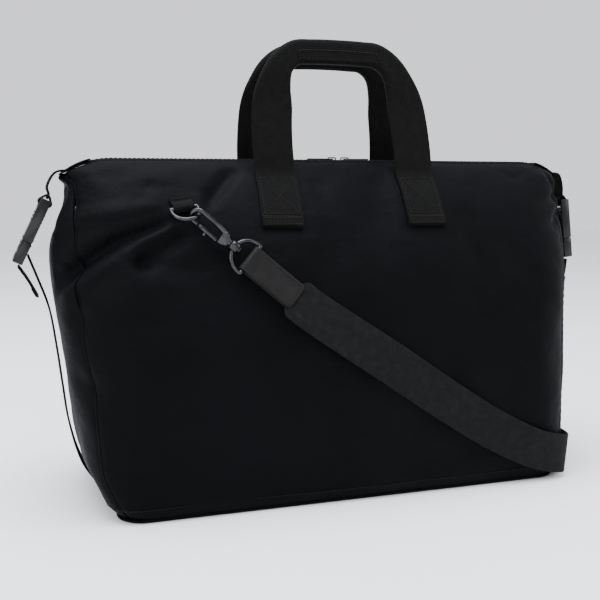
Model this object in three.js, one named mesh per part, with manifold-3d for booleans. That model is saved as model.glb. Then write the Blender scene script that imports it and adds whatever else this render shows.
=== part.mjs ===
// Soft weekender bag with two webbing handles, a zipped top, cinched ends and a
// detachable shoulder strap. Millimetres, +X to the right along the bag, -Y front,
// +Z up, origin on the floor at the middle of the base.
import * as THREE from 'three';
import { mergeVertices } from 'three/addons/utils/BufferGeometryUtils.js';
import Module from 'manifold-3d';

const wasm = await Module();
wasm.setup();

// ---------------------------------------------------------------- driving sizes
const HEIGHT = 305;            // floor to the zip
const BASE_HALF_LENGTH = 219;
const TOP_HALF_LENGTH = 250;   // out to the pinched ends of the zip
const BASE_HALF_DEPTH = 95;
const TOP_HALF_DEPTH = 15;     // panel edge either side of the zip
const BASE_CORNER = 28;        // upright corners, rounder above the base
const BODY_CORNER = 58;
const LEFT_SAG = 0.05;         // the left half slumps outwards by this share of its length
const BULGE = 6;               // front and back panels swell by this
const END_DROOP = 14;          // the zip's ends sag by this
const DROOP_START = 205;
const FABRIC = 2.4;            // shell panel with its foam
const BASE_SHEET = 2.5;
const BOARD = 3;
const LINING = 1.2;
const GAP = 0.4;               // clearance between pieces
const SEAM_HALF = 0.8;         // half the gap between two panels

const WEBBING = 38;            // handles and shoulder strap
const WEBBING_THICK = 2;
const NARROW_WEBBING = 25;     // cinch straps
const HANDLE_SPREAD = 69;      // leg's centre from the bag's centre
const HANDLE_CENTRE = 8;       // the handles sit right of the middle
const HANDLE_SWAY = 5;         // and lean back over it at the grip
const HANDLE_FOOT = HEIGHT - 12;
const HANDLE_PATCH = 44;       // sewn length below the foot
const FLEX_GAP = 3;            // free webbing between the sewn end and the leg
const HANDLE_RISE = 112;       // foot to the grip's centre
const HANDLE_LEAN = 0.14;      // inward shift for each mm of rise
const GRIP_HALF_HEIGHT = 11.5;
const GRIP_HALF_DEPTH = 5.5;

const WIRE = 1.75;             // radius of ring wire
const RING_X = 147;            // D-ring from the bag's centre
const RING_Z = 262;

// ---------------------------------------------------------------- colours
const nylon = () => finish(0x17181d, 0.72, 0);
const liningCloth = () => finish(0x3a3b40, 0.85, 0);
const webbing = () => finish(0x1b1c1f, 0.8, 0);
const strapWebbing = () => finish(0x3a3b3d, 0.85, 0);
const hardware = () => finish(0x1a1a1c, 0.25, 0.9);
const plastic = () => finish(0x0d0d0e, 0.3, 0);
const leather = () => finish(0x2c2c2f, 0.55, 0);
const board = () => finish(0x222222, 0.7, 0);

function finish(color, roughness, metalness) {
  return new THREE.MeshStandardMaterial({ color, roughness, metalness });
}

const bag = new THREE.Group();

function addMesh(name, geometry, material, parent = bag) {
  const mesh = new THREE.Mesh(geometry, material);
  mesh.name = name;
  parent.add(mesh);
  return mesh;
}

// A group whose local X and Y lie along the two given directions.
function frameAt(origin, xAxis, yAxis, parent = bag) {
  const x = xAxis.clone().normalize();
  const z = x.clone().cross(yAxis).normalize();
  const y = z.clone().cross(x);
  const group = new THREE.Group();
  group.quaternion.setFromRotationMatrix(new THREE.Matrix4().makeBasis(x, y, z));
  group.position.copy(origin);
  parent.add(group);
  group.updateMatrixWorld(true);
  return group;
}

// ---------------------------------------------------------------- mesh helpers
const vec = (x, y, z) => new THREE.Vector3(x, y, z);

// A closed body from points and triangles, turned so that its faces point outwards.
function indexed(points, index) {
  let volume = 0;
  for (let i = 0; i < index.length; i += 3) {
    const [a, b, c] = [points[index[i]], points[index[i + 1]], points[index[i + 2]]];
    volume += a.dot(b.clone().cross(c));
  }
  if (volume < 0) index.reverse();
  const geometry = new THREE.BufferGeometry();
  geometry.setFromPoints(points);
  geometry.setIndex(index);
  return geometry;
}

// Joins rings of equal length into a closed body; a looped one has no end caps.
function loft(rings, looped = false) {
  const size = rings[0].length;
  const points = rings.flat();
  const index = [];
  const spans = looped ? rings.length : rings.length - 1;
  for (let i = 0; i < spans; i += 1) {
    const next = (i + 1) % rings.length;
    for (let j = 0; j < size; j += 1) {
      const k = (j + 1) % size;
      const a = i * size + j;
      const b = i * size + k;
      const c = next * size + j;
      const d = next * size + k;
      index.push(a, b, d, a, d, c);
    }
  }
  if (!looped) {
    const last = (rings.length - 1) * size;
    for (let j = 1; j < size - 1; j += 1) {
      index.push(0, j + 1, j);
      index.push(last, last + j, last + j + 1);
    }
  }
  return indexed(points, index);
}

// A curved sheet: face(u, v) gives an outer point, and the inner face lies depth below it.
function sheet(face, columns, rows, depth) {
  const outer = [];
  const inner = [];
  for (let j = 0; j <= rows; j += 1) {
    for (let i = 0; i <= columns; i += 1) {
      const spot = face(i / columns, j / rows);
      outer.push(spot.point);
      inner.push(spot.point.clone().addScaledVector(spot.normal, -depth));
    }
  }
  const wide = columns + 1;
  const below = outer.length;
  const index = [];
  for (let j = 0; j < rows; j += 1) {
    for (let i = 0; i < columns; i += 1) {
      const a = j * wide + i;
      const b = a + 1;
      const c = a + wide;
      const d = c + 1;
      index.push(a, b, d, a, d, c);
      index.push(below + a, below + d, below + b, below + a, below + c, below + d);
    }
  }
  const rim = [];
  for (let i = 0; i < columns; i += 1) rim.push(i);
  for (let j = 0; j < rows; j += 1) rim.push(j * wide + columns);
  for (let i = columns; i > 0; i -= 1) rim.push(rows * wide + i);
  for (let j = rows; j > 0; j -= 1) rim.push(j * wide);
  rim.forEach((a, i) => {
    const b = rim[(i + 1) % rim.length];
    index.push(a, below + a, below + b, a, below + b, b);
  });
  return indexed(outer.concat(inner), index);
}

// A flat strap along a list of stations {point, normal, width, thick}.
function ribbon(stations) {
  const rings = stations.map((station, i) => {
    const before = stations[Math.max(i - 1, 0)].point;
    const after = stations[Math.min(i + 1, stations.length - 1)].point;
    const along = after.clone().sub(before).normalize();
    const side = along.clone().cross(station.normal).normalize();
    const out = side.clone().cross(along);
    const w = station.width / 2;
    const h = station.thick / 2;
    const corner = (a, b) => station.point.clone()
      .addScaledVector(side, a * w).addScaledVector(out, b * h);
    return [corner(-1, -1), corner(1, -1), corner(1, 1), corner(-1, 1)];
  });
  return loft(rings);
}

// A round wire through points that lie in one plane.
function wire(points, planeNormal, radius, sides, looped) {
  const count = points.length;
  const rings = points.map((point, i) => {
    const before = looped ? points[(i + count - 1) % count] : points[Math.max(i - 1, 0)];
    const after = looped ? points[(i + 1) % count] : points[Math.min(i + 1, count - 1)];
    const along = after.clone().sub(before).normalize();
    const side = along.clone().cross(planeNormal).normalize();
    const ring = [];
    for (let j = 0; j < sides; j += 1) {
      const angle = (2 * Math.PI * j) / sides;
      ring.push(point.clone()
        .addScaledVector(side, radius * Math.cos(angle))
        .addScaledVector(planeNormal, radius * Math.sin(angle)));
    }
    return ring;
  });
  return loft(rings, looped);
}

function box(x0, x1, y0, y1, z0, z1) {
  const geometry = new THREE.BoxGeometry(x1 - x0, y1 - y0, z1 - z0);
  geometry.translate((x0 + x1) / 2, (y0 + y1) / 2, (z0 + z1) / 2);
  return geometry;
}

function prism(outline, depth, holes = [], segments = 6) {
  const shape = outline instanceof THREE.Shape ? outline : new THREE.Shape(outline);
  holes.forEach((hole) => shape.holes.push(hole));
  return new THREE.ExtrudeGeometry(shape, { depth, bevelEnabled: false, curveSegments: segments });
}

function roundedRectangle(halfLength, halfDepth, radius) {
  const shape = new THREE.Shape();
  shape.moveTo(-halfLength + radius, -halfDepth);
  shape.absarc(halfLength - radius, -halfDepth + radius, radius, -Math.PI / 2, 0, false);
  shape.absarc(halfLength - radius, halfDepth - radius, radius, 0, Math.PI / 2, false);
  shape.absarc(-halfLength + radius, halfDepth - radius, radius, Math.PI / 2, Math.PI, false);
  shape.absarc(-halfLength + radius, -halfDepth + radius, radius, Math.PI, 1.5 * Math.PI, false);
  return shape;
}

function solidOf(geometry) {
  const bare = geometry.index ? geometry.clone() : geometry;
  bare.deleteAttribute('normal');
  bare.deleteAttribute('uv');
  const merged = mergeVertices(bare, 1e-4);
  return new wasm.Manifold(new wasm.Mesh({
    numProp: 3,
    vertProperties: Float32Array.from(merged.attributes.position.array),
    triVerts: Uint32Array.from(merged.index.array),
  }));
}

function geometryOf(solid) {
  const mesh = solid.getMesh();
  const geometry = new THREE.BufferGeometry();
  geometry.setAttribute('position', new THREE.BufferAttribute(Float32Array.from(mesh.vertProperties), 3));
  geometry.setIndex(Array.from(mesh.triVerts));
  return geometry;
}

function join(...geometries) {
  return geometryOf(geometries.map(solidOf).reduce((all, one) => all.add(one)));
}

function cut(geometry, ...tools) {
  return geometryOf(tools.map(solidOf).reduce((rest, tool) => rest.subtract(tool), solidOf(geometry)));
}

// ---------------------------------------------------------------- the bag's form
const PANEL_FOOT = BASE_SHEET + GAP;
const FOOT_INSET = 5;          // the lower edge tucks in
const FOOT_ROUND = 0.05;       // over this share of the height

const halfLengthAt = (t) => BASE_HALF_LENGTH + (TOP_HALF_LENGTH - BASE_HALF_LENGTH)
  * (1 - (1 - t) ** 2) - tuckAt(t);
const halfDepthAt = (t) => TOP_HALF_DEPTH + (BASE_HALF_DEPTH - TOP_HALF_DEPTH)
  * (1 - t ** 3) ** 0.75 - tuckAt(t);
const tuckAt = (t) => FOOT_INSET * Math.max(0, 1 - t / FOOT_ROUND) ** 2;
const cornerAt = (t) => Math.min(halfDepthAt(t),
  THREE.MathUtils.lerp(BASE_CORNER, BODY_CORNER, THREE.MathUtils.smoothstep(t, 0, 0.4)));
const sagAt = (x, t) => (x < 0
  ? LEFT_SAG * THREE.MathUtils.smoothstep(t, 0, 0.15) * (1 - THREE.MathUtils.smoothstep(t, 0.7, 0.97)) : 0);
const droopAt = (x) => {
  const share = THREE.MathUtils.clamp((Math.abs(x) - DROOP_START) / (TOP_HALF_LENGTH - DROOP_START), 0, 1);
  return END_DROOP * share * share;
};
const shareAt = (z) => THREE.MathUtils.clamp((z - PANEL_FOOT) / (HEIGHT - PANEL_FOOT), 0, 1);

// A point at distance q round the wall from the middle of the front, heading right.
function outlinePoint(q, t) {
  const a = halfLengthAt(t);
  const b = halfDepthAt(t);
  const r = cornerAt(t);
  const arc = (Math.PI / 2) * r;
  const long = 2 * (a - r);
  const short = 2 * (b - r);
  const round = 2 * (long + short + 2 * arc);
  let rest = ((q + (a - r)) % round + round) % round;
  const legs = [long, arc, short, arc, long, arc, short, arc];
  let leg = 0;
  while (leg < 7 && rest > legs[leg]) {
    rest -= legs[leg];
    leg += 1;
  }
  const turn = (angle, x, y) => [x + r * Math.cos(angle), y + r * Math.sin(angle)];
  const swing = rest / r;
  const quarter = Math.PI / 2;
  switch (leg) {
    case 0: return [rest - (a - r), -b];
    case 1: return turn(-quarter + swing, a - r, -b + r);
    case 2: return [a, rest - (b - r)];
    case 3: return turn(swing, a - r, b - r);
    case 4: return [(a - r) - rest, b];
    case 5: return turn(quarter + swing, -a + r, b - r);
    case 6: return [-a, (b - r) - rest];
    default: return turn(2 * quarter + swing, -a + r, -b + r);
  }
}

function wallPoint(q, t) {
  const [x, y] = outlinePoint(q, t);
  const swell = BULGE * (1 - Math.min(1, (x / halfLengthAt(t)) ** 2)) * Math.sin(Math.PI * t);
  const depth = halfDepthAt(t);
  const z = PANEL_FOOT + t * (HEIGHT - PANEL_FOOT) - droopAt(x) * t ** 6;
  return vec(x * (1 + sagAt(x, t)), y * (1 + swell / depth), z);
}

// The outer face there, with its outward normal.
function wallAt(q, t) {
  const step = 0.002;
  const low = Math.max(0, t - step);
  const high = Math.min(1, t + step);
  const alongWall = wallPoint(q + 0.5, t).sub(wallPoint(q - 0.5, t));
  const upWall = wallPoint(q, high).sub(wallPoint(q, low));
  return { point: wallPoint(q, t), normal: alongWall.cross(upWall).normalize() };
}

// Where a panel starts and ends round the wall, as a share of the height changes it.
function panelSpan(panel, t) {
  const a = halfLengthAt(t);
  const b = halfDepthAt(t);
  const r = cornerAt(t);
  const half = Math.PI * r / 4;
  const frontEnd = (a - r) + half;
  const endWidth = 2 * (b - r) + 2 * half;
  const starts = {
    front: -frontEnd,
    right: frontEnd,
    back: frontEnd + endWidth,
    left: 3 * frontEnd + endWidth,
  };
  const width = panel === 'front' || panel === 'back' ? 2 * frontEnd : endWidth;
  return [starts[panel], width];
}

// Places round a panel: three steps on each half corner and even steps on the flat.
function panelPlaces(panel, t, flats) {
  const [start, width] = panelSpan(panel, t);
  const half = (Math.PI * cornerAt(t)) / 4;
  const corner = [0, half / 3, (2 * half) / 3, half];
  const flat = [];
  for (let i = 1; i < flats; i += 1) flat.push(half + ((width - 2 * half) * i) / flats);
  return [...corner, ...flat, ...corner.map((place) => width - place).reverse()]
    .map((place) => start + place);
}

const PANEL_ROWS = [0, 0.02, 0.05, 0.13, 0.27, 0.41, 0.55, 0.68, 0.79, 0.88, 0.95, 1];
const FLATS = { front: 9, back: 9, left: 4, right: 4 };

function panelGeometry(panel) {
  const columns = FLATS[panel] + 6;
  return sheet((u, v) => {
    const t = PANEL_ROWS[Math.round(v * (PANEL_ROWS.length - 1))];
    const column = Math.round(u * columns);
    const trim = SEAM_HALF * ((column === 0) - (column === columns));
    return wallAt(panelPlaces(panel, t, FLATS[panel])[column] + trim, t);
  }, columns, PANEL_ROWS.length - 1, FABRIC);
}

const panels = [['front_panel', 'front'], ['right_end_panel', 'right'], ['back_panel', 'back'],
  ['left_end_panel', 'left']];
panels.forEach(([name, panel]) => addMesh(name, panelGeometry(panel), nylon()));

const baseOutline = roundedRectangle(BASE_HALF_LENGTH - FOOT_INSET, BASE_HALF_DEPTH - FOOT_INSET,
  BASE_CORNER - FOOT_INSET);
addMesh('base_panel', prism(baseOutline, BASE_SHEET), nylon());

const BOARD_INSET = FOOT_INSET + FABRIC + 3;
const boardOutline = roundedRectangle(BASE_HALF_LENGTH - BOARD_INSET, BASE_HALF_DEPTH - BOARD_INSET,
  BASE_CORNER - BOARD_INSET);
const baseBoard = prism(boardOutline, BOARD);
baseBoard.translate(0, 0, BASE_SHEET + GAP);
addMesh('base_board', baseBoard, board());

// The lining is one open cup inside the shell.
const LINING_GAP = FABRIC + 1.2;
const LINING_FOOT = BASE_SHEET + BOARD + 2 * GAP;
const LINING_FOOT_INSET = 16;

function liningRing(t, inset, height) {
  const ring = [];
  panels.forEach(([, panel]) => {
    panelPlaces(panel, t, FLATS[panel]).slice(0, -1).forEach((q) => {
      const spot = wallAt(q, t);
      const inner = spot.point.addScaledVector(spot.normal, -inset);
      if (height !== undefined) inner.z = height;
      ring.push(inner);
    });
  });
  return ring;
}

function liningGeometry() {
  const shares = PANEL_ROWS.slice(2, -2);
  const foot = shares[0];
  const outer = shares.map((t) => liningRing(t, LINING_GAP));
  const inner = shares.map((t) => liningRing(t, LINING_GAP + LINING)).reverse();
  return loft([liningRing(foot, LINING_FOOT_INSET, LINING_FOOT), ...outer, ...inner,
    liningRing(foot, LINING_FOOT_INSET + LINING, LINING_FOOT + LINING)]);
}
addMesh('lining', liningGeometry(), liningCloth());

// ---------------------------------------------------------------- zip
const ZIP_HALF = 202;          // toothed length either side of the middle
const TOOTH_OUT = 2.6;
const SLIT_HALF = 0.6;         // the sliders' necks pass between the teeth
const TOOTH_TOP = HEIGHT + 0.6;
const TOOTH_FOOT = HEIGHT - 1.6;
const TAPE_THICK = 1;

function tapeGeometry(side) {
  const inner = TOOTH_OUT + GAP;
  const outer = TOP_HALF_DEPTH - 2.2;
  const end = TOP_HALF_LENGTH - 19;
  return sheet((u, v) => {
    const x = -end + 2 * end * u;
    const y = side < 0 ? -outer + (outer - inner) * v : inner + (outer - inner) * v;
    return { point: vec(x, y, HEIGHT - 0.4 - droopAt(x)), normal: vec(0, 0, 1) };
  }, 22, 1, TAPE_THICK);
}
[['front', -1], ['back', 1]].forEach(([word, side]) => {
  addMesh(`zip_tape_${word}`, tapeGeometry(side), webbing());
  const edges = [side * SLIT_HALF, side * TOOTH_OUT].sort((a, b) => a - b);
  const row = box(-ZIP_HALF, ZIP_HALF, edges[0], edges[1], TOOTH_FOOT, TOOTH_TOP);
  addMesh(`zip_teeth_${word}`, row, plastic());
});
[['left', -1], ['right', 1]].forEach(([word, side]) => {
  const edges = [side * (ZIP_HALF + GAP), side * (ZIP_HALF + 3)].sort((a, b) => a - b);
  const stop = box(edges[0], edges[1], -TOOTH_OUT, TOOTH_OUT, TOOTH_FOOT, TOOTH_TOP);
  addMesh(`zip_stop_${word}`, stop, hardware());
});

const ZIP_MEETING = 12;        // the sliders meet right of the middle
const SLIDER_LENGTH = 11;
const SLIDER_HALF_WIDTH = 4.2;
const NECK_HALF = 0.28;
const PLATE = 1.3;
const CROWN_HEIGHT = 2.2;      // clear under the crown
const PULL_LENGTH = 25;

function sliderGeometry() {
  const top = TOOTH_TOP + GAP;
  const foot = TOOTH_FOOT - GAP;
  const profile = [[-SLIDER_HALF_WIDTH, top], [-NECK_HALF, top], [-NECK_HALF, foot],
    [-SLIDER_HALF_WIDTH, foot], [-SLIDER_HALF_WIDTH, foot - PLATE], [SLIDER_HALF_WIDTH, foot - PLATE],
    [SLIDER_HALF_WIDTH, foot], [NECK_HALF, foot], [NECK_HALF, top], [SLIDER_HALF_WIDTH, top],
    [SLIDER_HALF_WIDTH, top + PLATE], [-SLIDER_HALF_WIDTH, top + PLATE]]
    .map(([y, z]) => new THREE.Vector2(y, z));
  const beam = prism(profile, SLIDER_LENGTH);
  beam.rotateX(Math.PI / 2);
  beam.rotateZ(Math.PI / 2);
  beam.translate(-SLIDER_LENGTH / 2, 0, 0);
  const deck = top + PLATE;
  const crown = new THREE.Shape();
  crown.moveTo(-4.2, -0.5);
  crown.lineTo(-4.2, CROWN_HEIGHT);
  crown.quadraticCurveTo(-4, CROWN_HEIGHT + 1, -2.6, CROWN_HEIGHT + 1);
  crown.lineTo(2.6, CROWN_HEIGHT + 1);
  crown.quadraticCurveTo(4, CROWN_HEIGHT + 1, 4.2, CROWN_HEIGHT);
  crown.lineTo(4.2, -0.5);
  crown.lineTo(3.1, -0.5);
  crown.lineTo(3.1, CROWN_HEIGHT);
  crown.lineTo(-3.1, CROWN_HEIGHT);
  crown.lineTo(-3.1, -0.5);
  const arch = prism(crown, 1.6, [], 3);
  arch.rotateX(Math.PI / 2);
  arch.translate(0, 0.8, deck);
  return join(beam, arch);
}

function pullGeometry(side) {
  const half = 2.7;
  const shape = new THREE.Shape();
  shape.moveTo(-0.6, -half);
  shape.lineTo(PULL_LENGTH - half, -half);
  shape.absarc(PULL_LENGTH - half, 0, half, -Math.PI / 2, Math.PI / 2, false);
  shape.lineTo(-0.6, half);
  const hole = new THREE.Path();
  hole.moveTo(0.6, -1.5);
  hole.lineTo(0.6, 1.5);
  hole.lineTo(6.5, 1.5);
  hole.lineTo(6.5, -1.5);
  const pull = prism(shape, 1.2, [hole], 5);
  pull.translate(0, 0, -0.6);
  if (side < 0) pull.rotateZ(Math.PI);
  return pull;
}

const PIVOT_Z = TOOTH_TOP + GAP + PLATE + 1.2;
[['left', -1], ['right', 1]].forEach(([word, side]) => {
  const place = new THREE.Group();
  place.position.x = ZIP_MEETING + side * (SLIDER_LENGTH / 2 + 1);
  bag.add(place);
  addMesh(`zip_slider_${word}`, sliderGeometry(), hardware(), place);
  const pull = addMesh(`zip_pull_${word}`, pullGeometry(side), hardware(), place);
  pull.position.z = PIVOT_Z;
});

// ---------------------------------------------------------------- handles
const handleSide = { front: -1, back: 1 };

// A point on the front or back panel, lifted off it, with the panel's normal.
function facePoint(side, x, z, lift) {
  const t = shareAt(z);
  const [start, width] = panelSpan('back', t);
  const q = side < 0 ? x : start + width / 2 - x;
  const spot = wallAt(q, t);
  spot.point.addScaledVector(spot.normal, lift);
  return spot;
}

function handleFoot(side) {
  return facePoint(side, HANDLE_SPREAD, HANDLE_FOOT, GAP + WEBBING_THICK * 0.9).point;
}

function anchorGeometry(side, centre) {
  return sheet((u, v) => {
    const across = side * (0.5 - u) * WEBBING;
    const z = HANDLE_FOOT - FLEX_GAP - HANDLE_PATCH * (1 - v);
    return facePoint(side, centre + across, z, GAP + WEBBING_THICK);
  }, 2, 5, WEBBING_THICK);
}

// Eight-sided section, flat in the legs and rounder in the folded grip.
function handleRing(point, across, out, halfWidth, halfThick) {
  const chamfer = Math.min(halfWidth, halfThick) * 0.5;
  const marks = [[-1, -1, 1, 0], [1, -1, -1, 0], [1, -1, 0, 1], [1, 1, 0, -1],
    [1, 1, -1, 0], [-1, 1, 1, 0], [-1, 1, 0, -1], [-1, -1, 0, 1]];
  return marks.map(([a, b, c, d]) => point.clone()
    .addScaledVector(across, a * halfWidth + c * chamfer)
    .addScaledVector(out, b * halfThick + d * chamfer));
}

// The leg's centre line: distance from the bag's centre, and rise above the foot.
const legRoute = [...[[0, 0], [0, 0.25], [-2, 0.49], [-6, 0.71], [-15, 0.893], [-29, 0.987], [-44, 1]]
  .map(([shift, share]) => [HANDLE_SPREAD + shift, share * HANDLE_RISE]), [0, HANDLE_RISE + 0.5]];

function handleGeometry(side) {
  const foot = handleFoot(side);
  const inward = vec(0, -side * HANDLE_LEAN, 1).normalize();
  const out = vec(0, side, side * -side * -HANDLE_LEAN).normalize();
  const place = (x, rise) => vec(x + HANDLE_CENTRE - (HANDLE_SWAY * rise) / HANDLE_RISE, foot.y, foot.z)
    .addScaledVector(inward, rise);
  const right = legRoute.map(([x, rise]) => place(-x, rise));
  const left = legRoute.slice(0, -1).reverse().map(([x, rise]) => place(x, rise));
  const curve = new THREE.CatmullRomCurve3(right.concat(left), false, 'centripetal');
  const steps = 44;
  const rings = [];
  for (let i = 0; i <= steps; i += 1) {
    const point = curve.getPointAt(i / steps);
    const along = curve.getTangentAt(i / steps);
    const across = along.clone().cross(out).normalize();
    const rise = (point.z - foot.z) / HANDLE_RISE;
    const fold = THREE.MathUtils.smoothstep(rise, 0.5, 0.97);
    const halfWidth = THREE.MathUtils.lerp(WEBBING / 2, GRIP_HALF_HEIGHT, fold);
    const halfThick = THREE.MathUtils.lerp(WEBBING_THICK / 2, GRIP_HALF_DEPTH, fold);
    rings.push(handleRing(point, across, out, halfWidth, halfThick));
  }
  return loft(rings);
}

Object.entries(handleSide).forEach(([word, side]) => {
  addMesh(`${word}_handle`, handleGeometry(side), webbing());
  addMesh(`${word}_handle_anchor_left`, anchorGeometry(side, HANDLE_CENTRE - HANDLE_SPREAD), webbing());
  addMesh(`${word}_handle_anchor_right`, anchorGeometry(side, HANDLE_CENTRE + HANDLE_SPREAD), webbing());
});

// ---------------------------------------------------------------- D-rings and hooks
const RING_HALF = 11.75;       // wire centre from the ring's middle
const RING_SIDE = 6;           // straight part of its sides
const RING_LIFT = 4.2;         // bar above the panel
const RING_TILT = THREE.MathUtils.degToRad(28);
const TAB_HALF_WIDTH = 9;
const TAB_RISE = 12;

function dOutline(halfWidth, straight, segments) {
  const points = [vec(-halfWidth, 0, 0), vec(-halfWidth / 3, 0, 0), vec(halfWidth / 3, 0, 0), vec(halfWidth, 0, 0)];
  for (let i = 0; i <= segments; i += 1) {
    const angle = -(Math.PI * i) / segments;
    points.push(vec(halfWidth * Math.cos(angle), -straight + halfWidth * Math.sin(angle), 0));
  }
  return points;
}

function ringTabGeometry() {
  const hole = WIRE + GAP;
  const wrap = hole + 1.2;
  const under = GAP - RING_LIFT;
  const shape = new THREE.Shape();
  shape.moveTo(TAB_RISE, under);
  shape.lineTo(TAB_RISE, under + 2.4);
  shape.lineTo(7, under + 2.6);
  shape.lineTo(1.5, wrap * 0.9);
  shape.absarc(0, 0, wrap, Math.PI / 2, 1.5 * Math.PI, false);
  shape.lineTo(4, under);
  const bore = new THREE.Path();
  bore.absarc(0, 0, hole, 0, 2 * Math.PI, true);
  const tab = prism(shape, 2 * TAB_HALF_WIDTH, [bore], 5);
  tab.translate(0, 0, -TAB_HALF_WIDTH);
  tab.rotateY(Math.PI / 2);
  tab.rotateX(Math.PI / 2);
  return tab;
}

// Turn of the ring and tab in the panel's plane; positive swings the ring to the bag's right.
const ringPlaces = {
  front: { side: -1, x: -RING_X, turn: THREE.MathUtils.degToRad(10), hookTurn: THREE.MathUtils.degToRad(45) },
  back: { side: 1, x: RING_X, turn: THREE.MathUtils.degToRad(-10), hookTurn: THREE.MathUtils.degToRad(90) },
};

function ringStation({ side, x, turn }) {
  const spot = facePoint(side, x, RING_Z, RING_LIFT);
  const rightward = vec(-side, 0, 0);
  const up = spot.normal.clone().cross(rightward).normalize();
  const across = rightward.clone().applyAxisAngle(spot.normal, turn);
  const rise = up.clone().applyAxisAngle(spot.normal, turn);
  return { origin: spot.point, normal: spot.normal, across, rise };
}

// Hook: along is measured from the wire that it catches, down towards the strap.
const HOOK_WIRE = 2;
const HOOK_HALF = 6;           // spine and gate from the hook's axis
const HOOK_SEAT = 1;           // the wire rests in the end of the claw
const HOOK_THROAT = 21;        // straight length of the spine
const BLOCK_START = 26;
const BLOCK_END = 34;
const SHANK = 2.6;
const BOSS_START = 36;
const BOSS_END = 43;
const GATE_START = 4.4;
const GATE_PIVOT = 23;
const STRAP_RING_APEX = 39.5;
const STRAP_RING_HALF = 15.75;
const STRAP_RING_BAR = 57;

function hookGeometry() {
  const points = [vec(BLOCK_START + 2, HOOK_HALF - 1.5, 0), vec(HOOK_THROAT, HOOK_HALF, 0)];
  points.push(vec(HOOK_THROAT / 2, HOOK_HALF, 0));
  for (let i = 0; i <= 8; i += 1) {
    const angle = Math.PI / 2 + (Math.PI * i) / 8;
    points.push(vec(HOOK_HALF * Math.cos(angle), HOOK_HALF * Math.sin(angle), 0));
  }
  points.push(vec(GATE_START - 1.2, -HOOK_HALF, 0));
  const claw = wire(points, vec(0, 0, 1), HOOK_WIRE, 8, false);
  const block = box(BLOCK_START, BLOCK_END, -7, 7, -2.6, 2.6);
  const profile = [[0, BLOCK_END - 1], [SHANK, BLOCK_END - 1], [SHANK, BOSS_END + GAP],
    [4.2, BOSS_END + GAP], [4.2, BOSS_END + 2], [0, BOSS_END + 2]]
    .map(([r, along]) => new THREE.Vector2(r, along));
  const shank = new THREE.LatheGeometry(profile, 12);
  shank.rotateZ(-Math.PI / 2);
  return join(claw, block, shank);
}

function gateGeometry() {
  const half = 2.2;
  const shape = new THREE.Shape();
  shape.moveTo(GATE_START, -half);
  shape.lineTo(GATE_PIVOT, -half);
  shape.absarc(GATE_PIVOT, 0, half, -Math.PI / 2, Math.PI / 2, false);
  shape.lineTo(GATE_START, half);
  const gate = prism(shape, 4, [], 4);
  gate.translate(0, -HOOK_HALF, -2);
  return gate;
}

function strapRingGeometry() {
  const loop = dOutline(STRAP_RING_HALF, STRAP_RING_BAR - STRAP_RING_APEX - STRAP_RING_HALF, 12)
    .map((point) => vec(STRAP_RING_BAR + point.y, -point.x, 0));
  const ring = wire(loop, vec(0, 0, 1), WIRE, 8, true);
  const boss = new THREE.CylinderGeometry(5, 5, BOSS_END - BOSS_START, 12);
  boss.rotateZ(Math.PI / 2);
  boss.translate((BOSS_START + BOSS_END) / 2, 0, 0);
  const bore = new THREE.CylinderGeometry(SHANK + GAP, SHANK + GAP, BOSS_END - BOSS_START + 4, 12);
  bore.rotateZ(Math.PI / 2);
  bore.translate((BOSS_START + BOSS_END) / 2, 0, 0);
  return cut(join(ring, boss), bore);
}

// Builds one clipped end and returns the strap's line from it.
function clippedEnd(word, runEnd, runLift) {
  const place = ringPlaces[word];
  const station = ringStation(place);
  const tabFrame = frameAt(station.origin, station.across, station.rise);
  addMesh(`${word}_ring_tab`, ringTabGeometry(), webbing(), tabFrame);

  const hang = station.rise.clone().multiplyScalar(Math.cos(RING_TILT))
    .addScaledVector(station.normal, -Math.sin(RING_TILT));
  const ringFrame = frameAt(station.origin, station.across, hang);
  const ringWire = wire(dOutline(RING_HALF, RING_SIDE, 12), vec(0, 0, 1), WIRE, 8, true);
  addMesh(`${word}_d_ring`, ringWire, hardware(), ringFrame);

  // The hook catches the ring where the pull of the strap crosses its bow.
  const end = facePoint(place.side, runEnd[0], runEnd[1], runLift).point;
  const pull = end.clone().sub(station.origin);
  const swing = Math.atan2(pull.dot(station.across), -pull.dot(station.rise));
  const catchPoint = ringFrame.localToWorld(vec(RING_HALF * Math.sin(swing),
    -RING_SIDE - RING_HALF * Math.cos(swing), 0));
  const along = end.clone().sub(catchPoint).normalize();
  const seat = catchPoint.clone().addScaledVector(along, HOOK_SEAT);
  const normal = facePoint(place.side, (catchPoint.x + end.x) / 2, (catchPoint.z + end.z) / 2, 0).normal;
  const sideways = normal.clone().cross(along).normalize();
  const lift = along.clone().cross(sideways).normalize();
  const hookAcross = sideways.clone().multiplyScalar(Math.cos(place.hookTurn))
    .addScaledVector(lift, Math.sin(place.hookTurn));
  const hookFrame = frameAt(seat, along, hookAcross);
  addMesh(`${word}_snap_hook`, hookGeometry(), hardware(), hookFrame);
  addMesh(`${word}_hook_gate`, gateGeometry(), hardware(), hookFrame);
  const strapFrame = frameAt(seat, along, sideways);
  addMesh(`${word}_strap_ring`, strapRingGeometry(), hardware(), strapFrame);
  return { seat, along, lift, strapFrame };
}

const frontRun = clippedEnd('front', [-50, 180], 5.5);
const backRun = clippedEnd('back', [192, 102], 16);

// ---------------------------------------------------------------- leather tab
const LEATHER = 1.6;
const LEATHER_HALF_WIDTH = 12.5;
const LEATHER_END = 109;
const LAYER = WEBBING_THICK / 2 + 0.3;

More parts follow.
